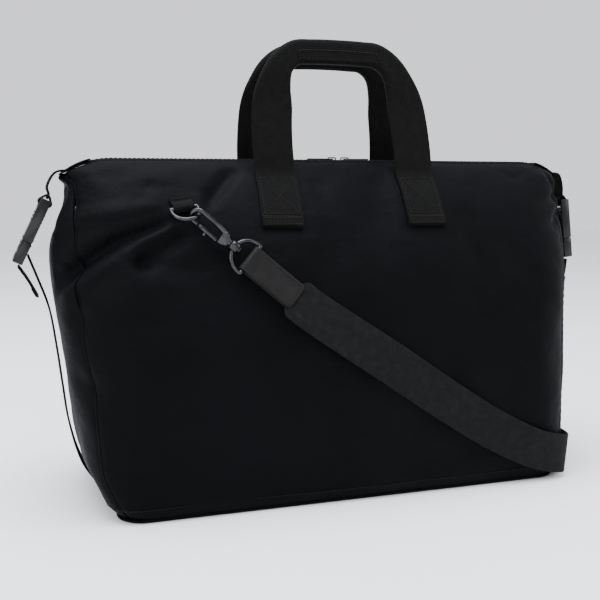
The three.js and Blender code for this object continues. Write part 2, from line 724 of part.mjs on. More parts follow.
function leatherTabGeometry() {
  const hole = WIRE + GAP;
  const shape = new THREE.Shape();
  shape.moveTo(LEATHER_END, LAYER);
  shape.lineTo(LEATHER_END, LAYER + LEATHER);
  shape.lineTo(STRAP_RING_BAR + 7, LAYER + LEATHER);
  shape.lineTo(STRAP_RING_BAR + 1, hole + LEATHER);
  shape.absarc(STRAP_RING_BAR, 0, hole + LEATHER, Math.PI / 2, 1.5 * Math.PI, false);
  shape.lineTo(STRAP_RING_BAR + 1, -hole - LEATHER);
  shape.lineTo(STRAP_RING_BAR + 7, -LAYER - LEATHER);
  shape.lineTo(LEATHER_END, -LAYER - LEATHER);
  shape.lineTo(LEATHER_END, -LAYER);
  shape.lineTo(STRAP_RING_BAR + 6, -LAYER);
  shape.absarc(STRAP_RING_BAR, 0, hole, -Math.PI / 2, Math.PI / 2, true);
  shape.lineTo(STRAP_RING_BAR + 6, LAYER);
  const tab = prism(shape, 2 * LEATHER_HALF_WIDTH, [], 6);
  tab.translate(0, 0, -LEATHER_HALF_WIDTH);
  tab.rotateX(Math.PI / 2);
  return tab;
}
addMesh('strap_leather_tab', leatherTabGeometry(), leather(), frontRun.strapFrame);

// ---------------------------------------------------------------- shoulder strap
const runPoint = (run, along, lift = 0) => run.seat.clone()
  .addScaledVector(run.along, along).addScaledVector(run.lift, lift);

const STRAP_START = STRAP_RING_BAR + 8;        // sewn end inside the leather tab
const STRAP_TAPER = [LEATHER_END - 8, LEATHER_END + 2];
const LOOP = WIRE + GAP + WEBBING_THICK / 2;
const RETURN_END = STRAP_RING_BAR + 76;

// The free run round the lower right end: distance round the wall from the front's middle,
// height and lift off the wall.
const strapRoute = [[30, 124, 3.2], [90, 83, 3.2], [140, 52, 3.8], [182, 32, 5], [216, 23, 5.8], [246, 21.5, 5.8],
  [300, 21, 5.4], [346, 30, 6], [380, 47, 7.5], [406, 68, 9]];

function strapStations() {
  const spots = [];
  const frontLine = [STRAP_START, LEATHER_END - 22, LEATHER_END, LEATHER_END + 14];
  frontLine.forEach((along) => spots.push({ point: runPoint(frontRun, along), normal: frontRun.lift }));
  strapRoute.forEach(([q, z, lift]) => {
    const spot = wallAt(q, shareAt(z));
    spots.push({ point: spot.point.addScaledVector(spot.normal, lift), normal: spot.normal });
  });
  [80, 58, 34, 14].map((past) => STRAP_RING_BAR + past).forEach((along) => {
    spots.push({ point: runPoint(backRun, along, LOOP), normal: backRun.lift });
  });
  const places = new THREE.CatmullRomCurve3(spots.map((spot) => spot.point), false, 'centripetal');
  const normals = new THREE.CatmullRomCurve3(spots.map((spot) => spot.normal), false, 'centripetal');
  const stations = [];
  const steps = 64;
  for (let i = 0; i <= steps; i += 1) {
    const point = places.getPoint(i / steps);
    const along = point.clone().sub(frontRun.seat).dot(frontRun.along);
    const opened = THREE.MathUtils.smoothstep(along, ...STRAP_TAPER);
    const nearTab = i < steps / 2 ? opened : 1;
    const width = THREE.MathUtils.lerp(2 * LEATHER_HALF_WIDTH - 4, WEBBING, nearTab);
    const width2 = i > steps - 14 ? Math.min(width, 2 * STRAP_RING_HALF - 2 * WIRE - 1) : width;
    stations.push({ point, normal: normals.getPoint(i / steps).normalize(), width: width2, thick: WEBBING_THICK });
  }
  const turns = 6;
  const loopWidth = 2 * STRAP_RING_HALF - 2 * WIRE - 1;
  for (let i = 0; i <= turns; i += 1) {
    const angle = Math.PI / 2 + (Math.PI * i) / turns;
    const point = runPoint(backRun, STRAP_RING_BAR + LOOP * Math.cos(angle), LOOP * Math.sin(angle));
    const normal = backRun.along.clone().multiplyScalar(Math.cos(angle))
      .addScaledVector(backRun.lift, Math.sin(angle));
    stations.push({ point, normal, width: loopWidth, thick: WEBBING_THICK });
  }
  [STRAP_RING_BAR + 20, STRAP_RING_BAR + 48, RETURN_END].forEach((along) => {
    stations.push({ point: runPoint(backRun, along, -LOOP), normal: backRun.lift.clone().negate(),
      width: loopWidth, thick: WEBBING_THICK });
  });
  return stations;
}
addMesh('shoulder_strap', ribbon(strapStations()), strapWebbing());

// Slide adjuster: end bars over the upper layer, a middle bar between the layers.
const ADJUSTER_AT = STRAP_RING_BAR + 36;
const ADJUSTER_HALF = 14;
function adjusterGeometry() {
  const halfWidth = STRAP_RING_HALF;
  const top = LOOP + WEBBING_THICK / 2 + GAP;
  const rail = (side) => {
    const edges = [side * halfWidth, side * (halfWidth + 3.4)].sort((a, b) => a - b);
    return box(-ADJUSTER_HALF, ADJUSTER_HALF, edges[0], edges[1], -0.9, top + 2.4);
  };
  const wide = halfWidth + 1;
  return join(rail(-1), rail(1), box(-ADJUSTER_HALF, -ADJUSTER_HALF + 4, -wide, wide, top, top + 2.4),
    box(ADJUSTER_HALF - 4, ADJUSTER_HALF, -wide, wide, top, top + 2.4),
    box(-2, 2, -wide, wide, -0.9, 0.9));
}
const adjuster = addMesh('strap_adjuster', adjusterGeometry(), hardware(), backRun.strapFrame);
adjuster.position.x = ADJUSTER_AT;

// ---------------------------------------------------------------- cinched ends
const BUCKLE_HALF_WIDTH = 16.5;
const BUCKLE_HALF_THICK = 4.5;
const SOCKET_LENGTH = 40;
const CLIP_BODY = 20;
const PRONG = 24;

// Buckle axes run down from the wing; local X down the buckle, Y across, Z outwards.
function socketGeometry() {
  const shell = box(0, SOCKET_LENGTH, -BUCKLE_HALF_WIDTH, BUCKLE_HALF_WIDTH, -BUCKLE_HALF_THICK, BUCKLE_HALF_THICK);
  const mouth = box(SOCKET_LENGTH - PRONG - 3, SOCKET_LENGTH + 1, -13, 13, -2.6, 2.6);
  const slot = box(4, 8.5, -13.2, 13.2, -BUCKLE_HALF_THICK - 1, BUCKLE_HALF_THICK + 1);
  return cut(shell, mouth, slot);
}

function clipGeometry() {
  const start = SOCKET_LENGTH + GAP;
  const body = box(start, start + CLIP_BODY, -BUCKLE_HALF_WIDTH, BUCKLE_HALF_WIDTH,
    -BUCKLE_HALF_THICK, BUCKLE_HALF_THICK);
  const slot = (from, to) => box(start + from, start + to, -13.2, 13.2,
    -BUCKLE_HALF_THICK - 1, BUCKLE_HALF_THICK + 1);
  const prong = (low, high) => box(start - PRONG, start + 1, low, high, -2.1, 2.1);
  const outer = join(body, prong(-12.5, -8.5), prong(-1.8, 1.8), prong(8.5, 12.5));
  return cut(outer, slot(5, 9), slot(12.5, 16.5));
}

const cinches = {
  left: { side: -1, lean: THREE.MathUtils.degToRad(26), reach: 11, drop: 20,
    route: [[271, 203], [262, 176], [256.5, 140], [252.5, 105], [248, 70], [237.5, 33], [222, 9]],
    tail: [[286.6, 213.2], [279.5, 202], [271, 186]] },
  right: { side: 1, lean: THREE.MathUtils.degToRad(7), reach: 8, drop: 22,
    route: [[257, 203], [252.5, 176], [248.5, 140], [242, 105], [234.2, 70], [228.4, 40], [224.6, 20],
      [221.5, 9]],
    tail: [[265.6, 206.6], [264.5, 196], [262, 182]] },
};

function bandAlong(points, width, thick) {
  const curve = new THREE.CatmullRomCurve3(points, false, 'centripetal');
  const steps = 3 * (points.length - 1);
  const stations = [];
  for (let i = 0; i <= steps; i += 1) {
    const point = curve.getPoint(i / steps);
    const along = curve.getTangent(i / steps);
    const normal = along.cross(vec(0, 1, 0)).normalize();
    stations.push({ point, normal, width, thick });
  }
  return ribbon(stations);
}

Object.entries(cinches).forEach(([word, { side, lean, reach, drop, route, tail }]) => {
  const wing = vec(side * TOP_HALF_LENGTH, 0, HEIGHT - END_DROOP);
  const down = vec(side * Math.sin(lean), 0, -Math.cos(lean));
  const head = wing.clone().add(vec(side * reach, 0, -drop));
  const buckle = frameAt(head, down, vec(0, -side, 0));
  addMesh(`${word}_buckle_socket`, socketGeometry(), plastic(), buckle);
  addMesh(`${word}_buckle_clip`, clipGeometry(), plastic(), buckle);

  const inset = (along, lift) => head.clone().addScaledVector(down, along)
    .addScaledVector(vec(side * Math.cos(lean), 0, Math.sin(lean)), lift);
  const upper = [wing.clone().add(vec(-side * 9, 0, 5.6)), wing.clone().add(vec(side * 2.5, 0, 3.6)),
    wing.clone().add(vec(side * (reach - 1), 0, -9)), inset(-5, 0), inset(-0.7, 0)];
  addMesh(`${word}_wing_webbing`, bandAlong(upper, NARROW_WEBBING, 1.8), webbing());

  const bar = SOCKET_LENGTH + GAP + 10.75;
  const placed = (list) => list.map(([x, z]) => vec(side * x, 0, z));
  const lower = [inset(bar, -BUCKLE_HALF_THICK - 1.4), ...placed(route)];
  addMesh(`${word}_cinch_webbing`, bandAlong(lower, NARROW_WEBBING, 1.8), webbing());
  addMesh(`${word}_webbing_tail`, bandAlong(placed(tail), NARROW_WEBBING, 1.8), webbing());
});

export default bag;
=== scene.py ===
"""Looks of a soft weekender bag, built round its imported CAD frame.
Lengths in this script are millimetres in the frame's axes; meshes are written in metres."""

import math

import bpy
import numpy as np
from mathutils import Matrix, Vector


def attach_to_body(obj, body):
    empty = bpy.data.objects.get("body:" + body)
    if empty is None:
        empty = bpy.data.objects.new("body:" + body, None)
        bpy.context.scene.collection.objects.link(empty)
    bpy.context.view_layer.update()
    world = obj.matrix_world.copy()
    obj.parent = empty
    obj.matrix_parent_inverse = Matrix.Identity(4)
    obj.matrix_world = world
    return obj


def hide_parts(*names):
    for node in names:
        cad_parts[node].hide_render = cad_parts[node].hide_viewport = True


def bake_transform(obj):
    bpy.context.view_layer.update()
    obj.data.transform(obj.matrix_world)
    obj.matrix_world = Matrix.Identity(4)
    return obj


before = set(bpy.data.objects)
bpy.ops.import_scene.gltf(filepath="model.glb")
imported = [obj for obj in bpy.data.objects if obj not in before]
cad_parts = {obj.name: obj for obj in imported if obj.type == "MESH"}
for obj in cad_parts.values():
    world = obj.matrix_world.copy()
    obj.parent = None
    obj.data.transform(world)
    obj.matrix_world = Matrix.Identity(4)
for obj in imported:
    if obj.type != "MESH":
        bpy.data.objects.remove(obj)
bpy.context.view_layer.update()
MM = 0.001
TAU = 2 * math.pi
UP = np.array([0, 0, 1.0])

# ---------------------------------------------------------------- the bag's form
HEIGHT = 305.0
BASE_HALF_LENGTH = 219.0
TOP_HALF_LENGTH = 250.0
BASE_HALF_DEPTH = 95.0
TOP_HALF_DEPTH = 15.0
BASE_CORNER = 28.0
BODY_CORNER = 58.0
LEFT_SAG = 0.05
BULGE = 6.0
END_DROOP = 14.0
DROOP_START = 205.0
FABRIC = 2.4
GAP = 0.4
SEAM_HALF = 0.8
BASE_SHEET = 2.5
PANEL_FOOT = BASE_SHEET + GAP
FOOT_INSET = 5.0
FOOT_ROUND = 0.05

WEBBING = 38.0
WEBBING_THICK = 2.0
NARROW_WEBBING = 25.0
HANDLE_SPREAD = 69.0
HANDLE_CENTRE = 8.0
HANDLE_SWAY = 5.0
HANDLE_FOOT = HEIGHT - 12
HANDLE_PATCH = 44.0
FLEX_GAP = 3.0
HANDLE_RISE = 112.0
HANDLE_LEAN = 0.14
GRIP_HALF_HEIGHT = 11.5
GRIP_HALF_DEPTH = 5.5

WIRE = 1.75
RING_X = 147.0
RING_Z = 262.0
RING_HALF = 11.75
RING_SIDE = 6.0
RING_LIFT = 4.2
RING_TILT = math.radians(28)
HOOK_WIRE = 2.0
HOOK_HALF = 6.0
HOOK_SEAT = 1.0
HOOK_THROAT = 21.0
BLOCK_START = 26.0
BLOCK_END = 34.0
BOSS_START = 36.0
BOSS_END = 43.0
GATE_START = 4.4
GATE_PIVOT = 23.0
STRAP_RING_APEX = 39.5
STRAP_RING_HALF = 15.75
STRAP_RING_BAR = 57.0
LEATHER = 1.6
LEATHER_HALF_WIDTH = 12.5
LEATHER_END = 109.0
LOOP = WIRE + GAP + WEBBING_THICK / 2
LAYER = WEBBING_THICK / 2 + 0.3


def clamp(value, low=0.0, high=1.0):
    return max(low, min(high, value))


def ease(value, low, high):
    share = clamp((value - low) / (high - low))
    return share * share * (3 - 2 * share)


def blended(a, b, share):
    return a + (b - a) * share


def unit(v):
    v = np.asarray(v, float)
    return v / max(np.linalg.norm(v), 1e-12)


def tuck_at(t):
    return FOOT_INSET * max(0.0, 1 - t / FOOT_ROUND) ** 2


def half_length(t):
    return BASE_HALF_LENGTH + (TOP_HALF_LENGTH - BASE_HALF_LENGTH) * (1 - (1 - t) ** 2) - tuck_at(t)


def half_depth(t):
    return TOP_HALF_DEPTH + (BASE_HALF_DEPTH - TOP_HALF_DEPTH) * (1 - t ** 3) ** 0.75 - tuck_at(t)


def corner_at(t):
    return min(half_depth(t), blended(BASE_CORNER, BODY_CORNER, ease(t, 0, 0.4)))


def sag_at(x, t):
    return LEFT_SAG * ease(t, 0, 0.15) * (1 - ease(t, 0.7, 0.97)) if x < 0 else 0.0


def droop_at(x):
    return END_DROOP * clamp((abs(x) - DROOP_START) / (TOP_HALF_LENGTH - DROOP_START)) ** 2


def share_at(z):
    return clamp((z - PANEL_FOOT) / (HEIGHT - PANEL_FOOT))


def outline_point(q, t):
    a = half_length(t)
    b = half_depth(t)
    r = corner_at(t)
    arc = math.pi / 2 * r
    long = 2 * (a - r)
    short = 2 * (b - r)
    rest = (q + a - r) % (2 * (long + short + 2 * arc))
    legs = [long, arc, short, arc, long, arc, short, arc]
    leg = 0
    while leg < 7 and rest > legs[leg]:
        rest -= legs[leg]
        leg += 1
    quarter = math.pi / 2
    corners = {1: (-quarter, a - r, -b + r), 3: (0, a - r, b - r), 5: (quarter, -a + r, b - r),
               7: (2 * quarter, -a + r, -b + r)}
    if leg in corners:
        start, x, y = corners[leg]
        return x + r * math.cos(start + rest / r), y + r * math.sin(start + rest / r)
    straight = {0: (rest - (a - r), -b), 2: (a, rest - (b - r)), 4: ((a - r) - rest, b),
                6: (-a, (b - r) - rest)}
    return straight[leg]


def wall_point(q, t):
    x, y = outline_point(q, t)
    swell = BULGE * (1 - min(1.0, (x / half_length(t)) ** 2)) * math.sin(math.pi * t)
    z = PANEL_FOOT + t * (HEIGHT - PANEL_FOOT) - droop_at(x) * t ** 6
    return np.array([x * (1 + sag_at(x, t)), y * (1 + swell / half_depth(t)), z])


def wall_at(q, t):
    low = max(0.0, t - 0.002)
    high = min(1.0, t + 0.002)
    along = wall_point(q + 0.5, t) - wall_point(q - 0.5, t)
    rise = wall_point(q, high) - wall_point(q, low)
    return wall_point(q, t), unit(np.cross(along, rise))


def panel_span(panel, t):
    a = half_length(t)
    b = half_depth(t)
    r = corner_at(t)
    half = math.pi * r / 4
    front_end = (a - r) + half
    end_width = 2 * (b - r) + 2 * half
    starts = {"front": -front_end, "right": front_end, "back": front_end + end_width,
              "left": 3 * front_end + end_width}
    return starts[panel], (2 * front_end if panel in ("front", "back") else end_width)


def wall_place(side, x, t):
    start, width = panel_span("back", t)
    return x if side < 0 else start + width / 2 - x


def face_point(side, x, z, lift=0.0):
    t = share_at(z)
    point, normal = wall_at(wall_place(side, x, t), t)
    return point + normal * lift, normal


# ---------------------------------------------------------------- soft folds in the shell
# Creases: side (-1 front, 1 back), corner places (x, z), depth inwards at either end, reach at either
# end, and how much sharper the upper edge is than the lower one.
CREASES = [
    (-1, [(-153, 256), (-200, 240), (-246, 214)], (3.5, 15.0), (5.0, 14.0), 0.5),
    (-1, [(-150, 268), (-200, 262), (-248, 254)], (-1.0, -5.0), (6.0, 10.0), 1.0),
    (-1, [(-156, 250), (-198, 227), (-244, 192)], (-1.5, -4.0), (4.0, 8.0), 1.0),
    (-1, [(-154, 248), (-180, 236), (-190, 218), (-187, 198)], (-3.0, -2.0), (4.0, 9.0), 1.0),
    (-1, [(-142, 244), (-160, 232), (-178, 222)], (5.0, 6.0), (7.0, 9.0), 0.7),
    (-1, [(-178, 222), (-150, 214), (-112, 214)], (4.0, 1.5), (9.0, 12.0), 0.8),
    (-1, [(-236, 176), (-205, 166), (-172, 172)], (3.0, 1.0), (9.0, 12.0), 0.8),
    (-1, [(-134, 262), (-118, 278), (-101, 297)], (5.5, 6.0), (6.0, 8.0), 1.0),
    (-1, [(-175, 282), (-130, 276)], (2.0, 2.0), (7.0, 7.0), 1.0),
    (-1, [(-236, 120), (-190, 98), (-150, 104)], (2.6, 1.2), (12.0, 14.0), 1.0),
    (-1, [(229, 299), (238, 280), (246, 262)], (5.0, 4.0), (5.0, 5.0), 1.0),
    (-1, [(206, 268), (226, 272), (247, 284)], (1.0, 6.5), (6.0, 6.0), 0.8),
    (-1, [(196, 240), (222, 246), (246, 262)], (1.0, 5.5), (7.0, 6.0), 0.8),
    (-1, [(176, 297), (186, 290), (200, 296)], (1.6, 1.6), (5.0, 5.0), 1.0),
    (-1, [(-22, 284), (-18, 236), (-30, 190)], (2.6, 0.8), (13.0, 20.0), 1.0),
    (-1, [(34, 284), (26, 232), (38, 178)], (2.2, 0.8), (13.0, 20.0), 1.0),
    (-1, [(120, 250), (124, 190), (106, 140)], (2.4, 1.2), (14.0, 22.0), 1.0),
    (-1, [(-196, 76), (-140, 52), (-92, 50)], (2.2, 1.2), (12.0, 14.0), 1.0),
    (-1, [(10, 34), (80, 30), (150, 40)], (1.2, 1.6), (10.0, 10.0), 1.0),
    (1, [(153, 256), (198, 240), (244, 216)], (3.0, 11.0), (5.0, 13.0), 0.6),
    (1, [(-206, 268), (-226, 272), (-247, 284)], (1.0, 6.5), (6.0, 6.0), 0.8),
    (1, [(-160, 236), (-206, 240), (-246, 256)], (1.5, 6.0), (8.0, 9.0), 0.8),
    (1, [(-26, 286), (-22, 236), (-34, 190)], (2.4, 0.8), (13.0, 20.0), 1.0),
    (1, [(34, 286), (28, 240), (38, 196)], (2.2, 0.8), (13.0, 20.0), 1.0),
    (1, [(-150, 104), (-80, 84), (-10, 98)], (1.5, 2.2), (16.0, 18.0), 1.0),
    (1, [(110, 236), (118, 190), (100, 150)], (2.4, 1.2), (14.0, 20.0), 1.0),
]
# The cinches draw a hollow down the middle of each end: side of the bag, top, foot, depth, reach.
END_HOLLOWS = [(-1, 284, 150, 9.0, 15.0), (1, 284, 160, 8.0, 15.0)]
PUCKER = 0.35
PUCKER_PITCH = 7.5
RIPPLES = [(0.021, 0.033, 0.4, 1.1), (0.048, -0.019, 1.9, 0.8), (-0.034, 0.061, 3.1, 0.6),
           (0.093, 0.041, 5.0, 0.35), (0.071, -0.088, 0.7, 0.3), (0.16, 0.12, 2.2, 0.16)]


def crease_lines():
    lines = []
    for side, places, depths, reaches, sharp in CREASES:
        steps = [(blended(a[0], b[0], k / 8), blended(a[1], b[1], k / 8))
                 for a, b in zip(places, places[1:]) for k in range(9)]
        points = np.array([face_point(side, x, z)[0] for x, z in steps])
        lines.append((points, depths, reaches, sharp))
    for side, top, foot, depth, reach in END_HOLLOWS:
        heights = np.linspace(top, foot, 12)
        points = np.array([[side * half_length(share_at(z)), 0, z] for z in heights])
        lines.append((points, (depth, depth * 0.3), (reach, reach), 1.0))
    return lines


LINES = crease_lines()
MOST_OUT = 1.2
MOST_OUT_LEFT = 4.5


def held_share(point):
    """0 where stitching or fittings hold the cloth to its form, 1 away from them."""
    x, y, z = point
    if abs(y) < 14:
        return 1.0
    patch = max(abs(abs(x - HANDLE_CENTRE) - HANDLE_SPREAD) - WEBBING / 2, HANDLE_FOOT - HANDLE_PATCH - 4 - z)
    ring_x = -RING_X if y < 0 else RING_X
    ring = math.hypot(x - ring_x, z - RING_Z - 5) - 12
    return ease(min(patch, ring), 0.0, 16.0)


def slack(q, t, point):
    """Soft displacement of the shell along its normal, in mm."""
    total = 0.0
    for points, depths, reaches, sharp in LINES:
        gaps = np.linalg.norm(points - point, axis=1)
        nearest = int(gaps.argmin())
        share = nearest / (len(points) - 1)
        reach = blended(reaches[0], reaches[1], share)
        if gaps[nearest] > 3 * reach:
            continue
        above = ease(point[2] - points[nearest][2], -2.0, 2.0)
        reach *= blended(1.0, sharp, above)
        total -= blended(depths[0], depths[1], share) * math.exp(-((gaps[nearest] / reach) ** 2))
    for wave_q, wave_z, phase, size in RIPPLES:
        total += size * math.sin(wave_q * q + wave_z * point[2] + phase)
    edge = ease(t, 0.0, 0.06) * (1 - ease(t, 0.955, 0.995))
    total = total * held_share(point) * edge
    most = blended(MOST_OUT_LEFT, MOST_OUT, ease(point[0], -190.0, -150.0))
    return most * math.tanh(total / most) if total > 0 else total


# ---------------------------------------------------------------- node helpers for the looks
class Look:
    """A material with one main shader and short ways to feed it."""

    def __init__(self, name):
        self.material = bpy.data.materials.new(name)
        self.material.use_nodes = True
        self.tree = self.material.node_tree
        self.shader = self.tree.nodes["Principled BSDF"]

    def node(self, kind, **settings):
        made = self.tree.nodes.new("ShaderNode" + kind)
        for key, value in settings.items():
            setattr(made, key, value)
        return made

    def wire(self, output, target):
        self.tree.links.new(output, target)

    def fixed(self, **sockets):
        for key, value in sockets.items():
            name = key.replace("_", " ")
            self.shader.inputs[name].default_value = value

    def coordinates(self, kind):
        return self.node("TexCoord").outputs[kind]

    def value(self, operation, a, b=None):
        made = self.node("Math", operation=operation)
        for slot, item in enumerate((a, b)):
            if item is None:
                continue
            if isinstance(item, (int, float)):
                made.inputs[slot].default_value = item
            else:
                self.wire(item, made.inputs[slot])
        return made.outputs[0]

    def axes(self, kind):
        split = self.node("SeparateXYZ")
        self.wire(self.coordinates(kind), split.inputs[0])
        return split.outputs

    def sine(self, position, pitch, phase=0.0):
        turned = self.value("MULTIPLY_ADD", position, TAU / pitch)
        turned.node.inputs[2].default_value = phase
        return self.value("SINE", turned)

    def noise(self, scale, detail=3.0, kind="Object", stretch=(1, 1, 1)):
        mapping = self.node("Mapping")
        mapping.inputs["Scale"].default_value = stretch
        self.wire(self.coordinates(kind), mapping.inputs["Vector"])
        made = self.node("TexNoise")
        made.inputs["Scale"].default_value = scale
        made.inputs["Detail"].default_value = detail
        self.wire(mapping.outputs[0], made.inputs["Vector"])
        return made.outputs["Fac"]

    def remap(self, position, low, high, out_low, out_high):
        made = self.node("MapRange")
        made.inputs["From Min"].default_value = low
        made.inputs["From Max"].default_value = high
        made.inputs["To Min"].default_value = out_low
        made.inputs["To Max"].default_value = out_high
        self.wire(position, made.inputs["Value"])
        return made.outputs["Result"]

    def mix(self, share, first, second):
        made = self.node("Mix", data_type="RGBA")
        if isinstance(share, (int, float)):
            made.inputs["Factor"].default_value = share
        else:
            self.wire(share, made.inputs["Factor"])
        for socket, item in ((made.inputs[6], first), (made.inputs[7], second)):
            if isinstance(item, tuple):
                socket.default_value = (*item, 1)
            else:
                self.wire(item, socket)
        return made.outputs[2]

    def bump(self, height, strength, distance, before=None):
        made = self.node("Bump")
        made.inputs["Strength"].default_value = strength
        made.inputs["Distance"].default_value = distance
        self.wire(height, made.inputs["Height"])
        if before is not None:
            self.wire(before, made.inputs["Normal"])
        return made.outputs["Normal"]

    def finish(self, colour, roughness, normal=None):
        self.wire(colour, self.shader.inputs["Base Color"])
        if isinstance(roughness, (int, float)):
            self.shader.inputs["Roughness"].default_value = roughness
        else:
            self.wire(roughness, self.shader.inputs["Roughness"])
        if normal is not None:
            self.wire(normal, self.shader.inputs["Normal"])
        return self.material


def plain_weave(look, pitch):
    axes = look.axes("UV")
    return look.value("MULTIPLY", look.sine(axes[0], pitch), look.sine(axes[1], pitch))


def shell_look():
    look = Look("shell_nylon")
    weave = plain_weave(look, 0.0011)
    grain = look.noise(1500, 2)
    cloud = look.noise(14, 4)
    crumple = look.noise(38, 5, stretch=(1, 1, 1.6))
    dust = look.noise(420, 2)
    base = look.mix(look.remap(cloud, 0.35, 0.7, 0, 1), (0.0007, 0.0007, 0.0009), (0.0014, 0.0014, 0.0018))
    # Painted highlight: the weave's crests are painted lighter, following the same weave that drives the
    # bump.
    colour = look.mix(look.remap(weave, -1, 1, 0.0, 0.3), base, (0.0034, 0.0035, 0.0046))
    colour = look.mix(look.remap(dust, 0.66, 0.85, 0, 0.08), colour, (0.012, 0.012, 0.014))
    rough = look.remap(grain, 0.3, 0.7, 0.5, 0.66)
    height = look.value("ADD", look.value("MULTIPLY", weave, 0.5), look.value("MULTIPLY", grain, 0.35))
    normal = look.bump(crumple, 0.55, 0.0035)
    normal = look.bump(height, 0.45, 0.00018, normal)
    look.fixed(Sheen_Weight=0.016, Sheen_Roughness=0.3, Sheen_Tint=(0.6, 0.64, 1.0, 1))
    look.fixed(Specular_IOR_Level=0.035)
    return look.finish(colour, rough, normal)


def webbing_look(name, dark, light, rib, step, sheen, roughness=0.7):
    """Woven tape: rows of floats, each row half a step from the next."""
    look = Look(name)
    axes = look.axes("UV")
    row = look.value("FLOOR", look.value("DIVIDE", axes[1], rib))
    shift = look.value("MULTIPLY", row, math.pi)
    turned_by = look.value("ADD", look.value("MULTIPLY", axes[0], TAU / step), shift)
    floats = look.remap(look.value("SINE", turned_by), -1, 1, 0.25, 1)
    ridge = look.value("ABSOLUTE", look.value("SINE", look.value("MULTIPLY", axes[1], math.pi / rib)))
    height = look.value("MULTIPLY", floats, ridge)
    fibre = look.noise(2600, 2, stretch=(1, 1, 1))
    heather = look.noise(170, 3)
    # Painted highlight and painted shade: the raised floats are painted lighter and the grooves between rows
    # darker, following the ribs' relief.
    base = look.mix(look.remap(height, 0, 1, 0, 1), dark, light)
    worn = look.mix(look.remap(heather, 0.45, 0.75, 0, 0.45), base, tuple(1.35 * part for part in light))
    normal = look.bump(fibre, 0.25, 0.0001)
    normal = look.bump(height, 0.8, 0.00045, normal)
    look.fixed(Sheen_Weight=sheen, Sheen_Roughness=0.5, Sheen_Tint=(0.85, 0.85, 0.85, 1))
    look.fixed(Specular_IOR_Level=0.05)
    return look.finish(worn, look.remap(fibre, 0.3, 0.7, roughness - 0.08, roughness + 0.1), normal)


def hardware_look():
    look = Look("black_nickel")
    smudge = look.noise(160, 4)
    fine = look.noise(2400, 2)
    colour = look.mix(look.remap(smudge, 0.35, 0.7, 0, 1), (0.022, 0.022, 0.024), (0.048, 0.048, 0.052))
    rough = look.remap(smudge, 0.3, 0.7, 0.17, 0.33)
    look.fixed(Metallic=1.0, Coat_Weight=0.12, Coat_Roughness=0.12)
    return look.finish(colour, rough, look.bump(fine, 0.08, 0.00005))


def plastic_look():
    look = Look("moulded_plastic")
    grain = look.noise(1900, 3)
    marks = look.noise(60, 4)
    colour = look.mix(look.remap(marks, 0.4, 0.7, 0, 1), (0.0018, 0.0018, 0.002), (0.004, 0.004, 0.0043))
    rough = look.remap(marks, 0.3, 0.7, 0.2, 0.36)
    look.fixed(Specular_IOR_Level=0.22, Coat_Weight=0.04, Coat_Roughness=0.2)
    return look.finish(colour, rough, look.bump(grain, 0.12, 0.00006))


def leather_look():
    look = Look("matt_leather")
    cells = look.node("TexVoronoi", feature="DISTANCE_TO_EDGE")
    cells.inputs["Scale"].default_value = 950
    look.wire(look.coordinates("Object"), cells.inputs["Vector"])
    grain = look.remap(cells.outputs["Distance"], 0, 0.25, 0, 1)
    cloud = look.noise(90, 4)
    colour = look.mix(look.remap(cloud, 0.35, 0.7, 0, 1), (0.0038, 0.0037, 0.0035), (0.0066, 0.0064, 0.006))
    colour = look.mix(look.remap(grain, 0, 0.5, 0.35, 0), colour, (0.008, 0.008, 0.008))
    look.fixed(Specular_IOR_Level=0.1, Sheen_Weight=0.006)
    return look.finish(colour, look.remap(cloud, 0.3, 0.7, 0.5, 0.66), look.bump(grain, 0.4, 0.00018))


def thread_look(name, shade):
    look = Look(name)
    axes = look.axes("Object")
    twist = look.sine(look.value("ADD", axes[0], axes[2]), 0.0009)
    fuzz = look.noise(3000, 2)
    dark = tuple(0.55 * part for part in shade)
    # Painted shade: the grooves of the twist are painted darker, following the same twist that drives the
    # bump.
    colour = look.mix(look.remap(twist, -1, 1, 0, 1), dark, shade)
    look.fixed(Sheen_Weight=0.015, Specular_IOR_Level=0.1)
    return look.finish(colour, look.remap(fuzz, 0.3, 0.7, 0.45, 0.65), look.bump(twist, 0.5, 0.0001))


def cloth_look(name, dark, light, pitch, roughness):
    look = Look(name)
    axes = look.axes("Object")
    weave = look.value("MULTIPLY", look.sine(axes[0], pitch), look.sine(axes[2], pitch))
    cloud = look.noise(40, 3)
    colour = look.mix(look.remap(cloud, 0.3, 0.7, 0, 1), dark, light)
    # Painted highlight: the weave's crests are painted lighter, following the same weave that drives the
    # bump.
    colour = look.mix(look.remap(weave, -1, 1, 0, 0.3), colour, tuple(1.5 * part for part in light))
    look.fixed(Sheen_Weight=0.15, Specular_IOR_Level=0.3)
    return look.finish(colour, roughness, look.bump(weave, 0.4, 0.0002))


def floor_look():
    look = Look("pale_floor")
    cloud = look.noise(2.5, 3)
    fine = look.noise(350, 2)
    colour = look.mix(look.remap(cloud, 0.3, 0.7, 0, 1), (0.86, 0.86, 0.865), (0.9, 0.9, 0.9))
    return look.finish(colour, 0.75, look.bump(fine, 0.03, 0.0003))


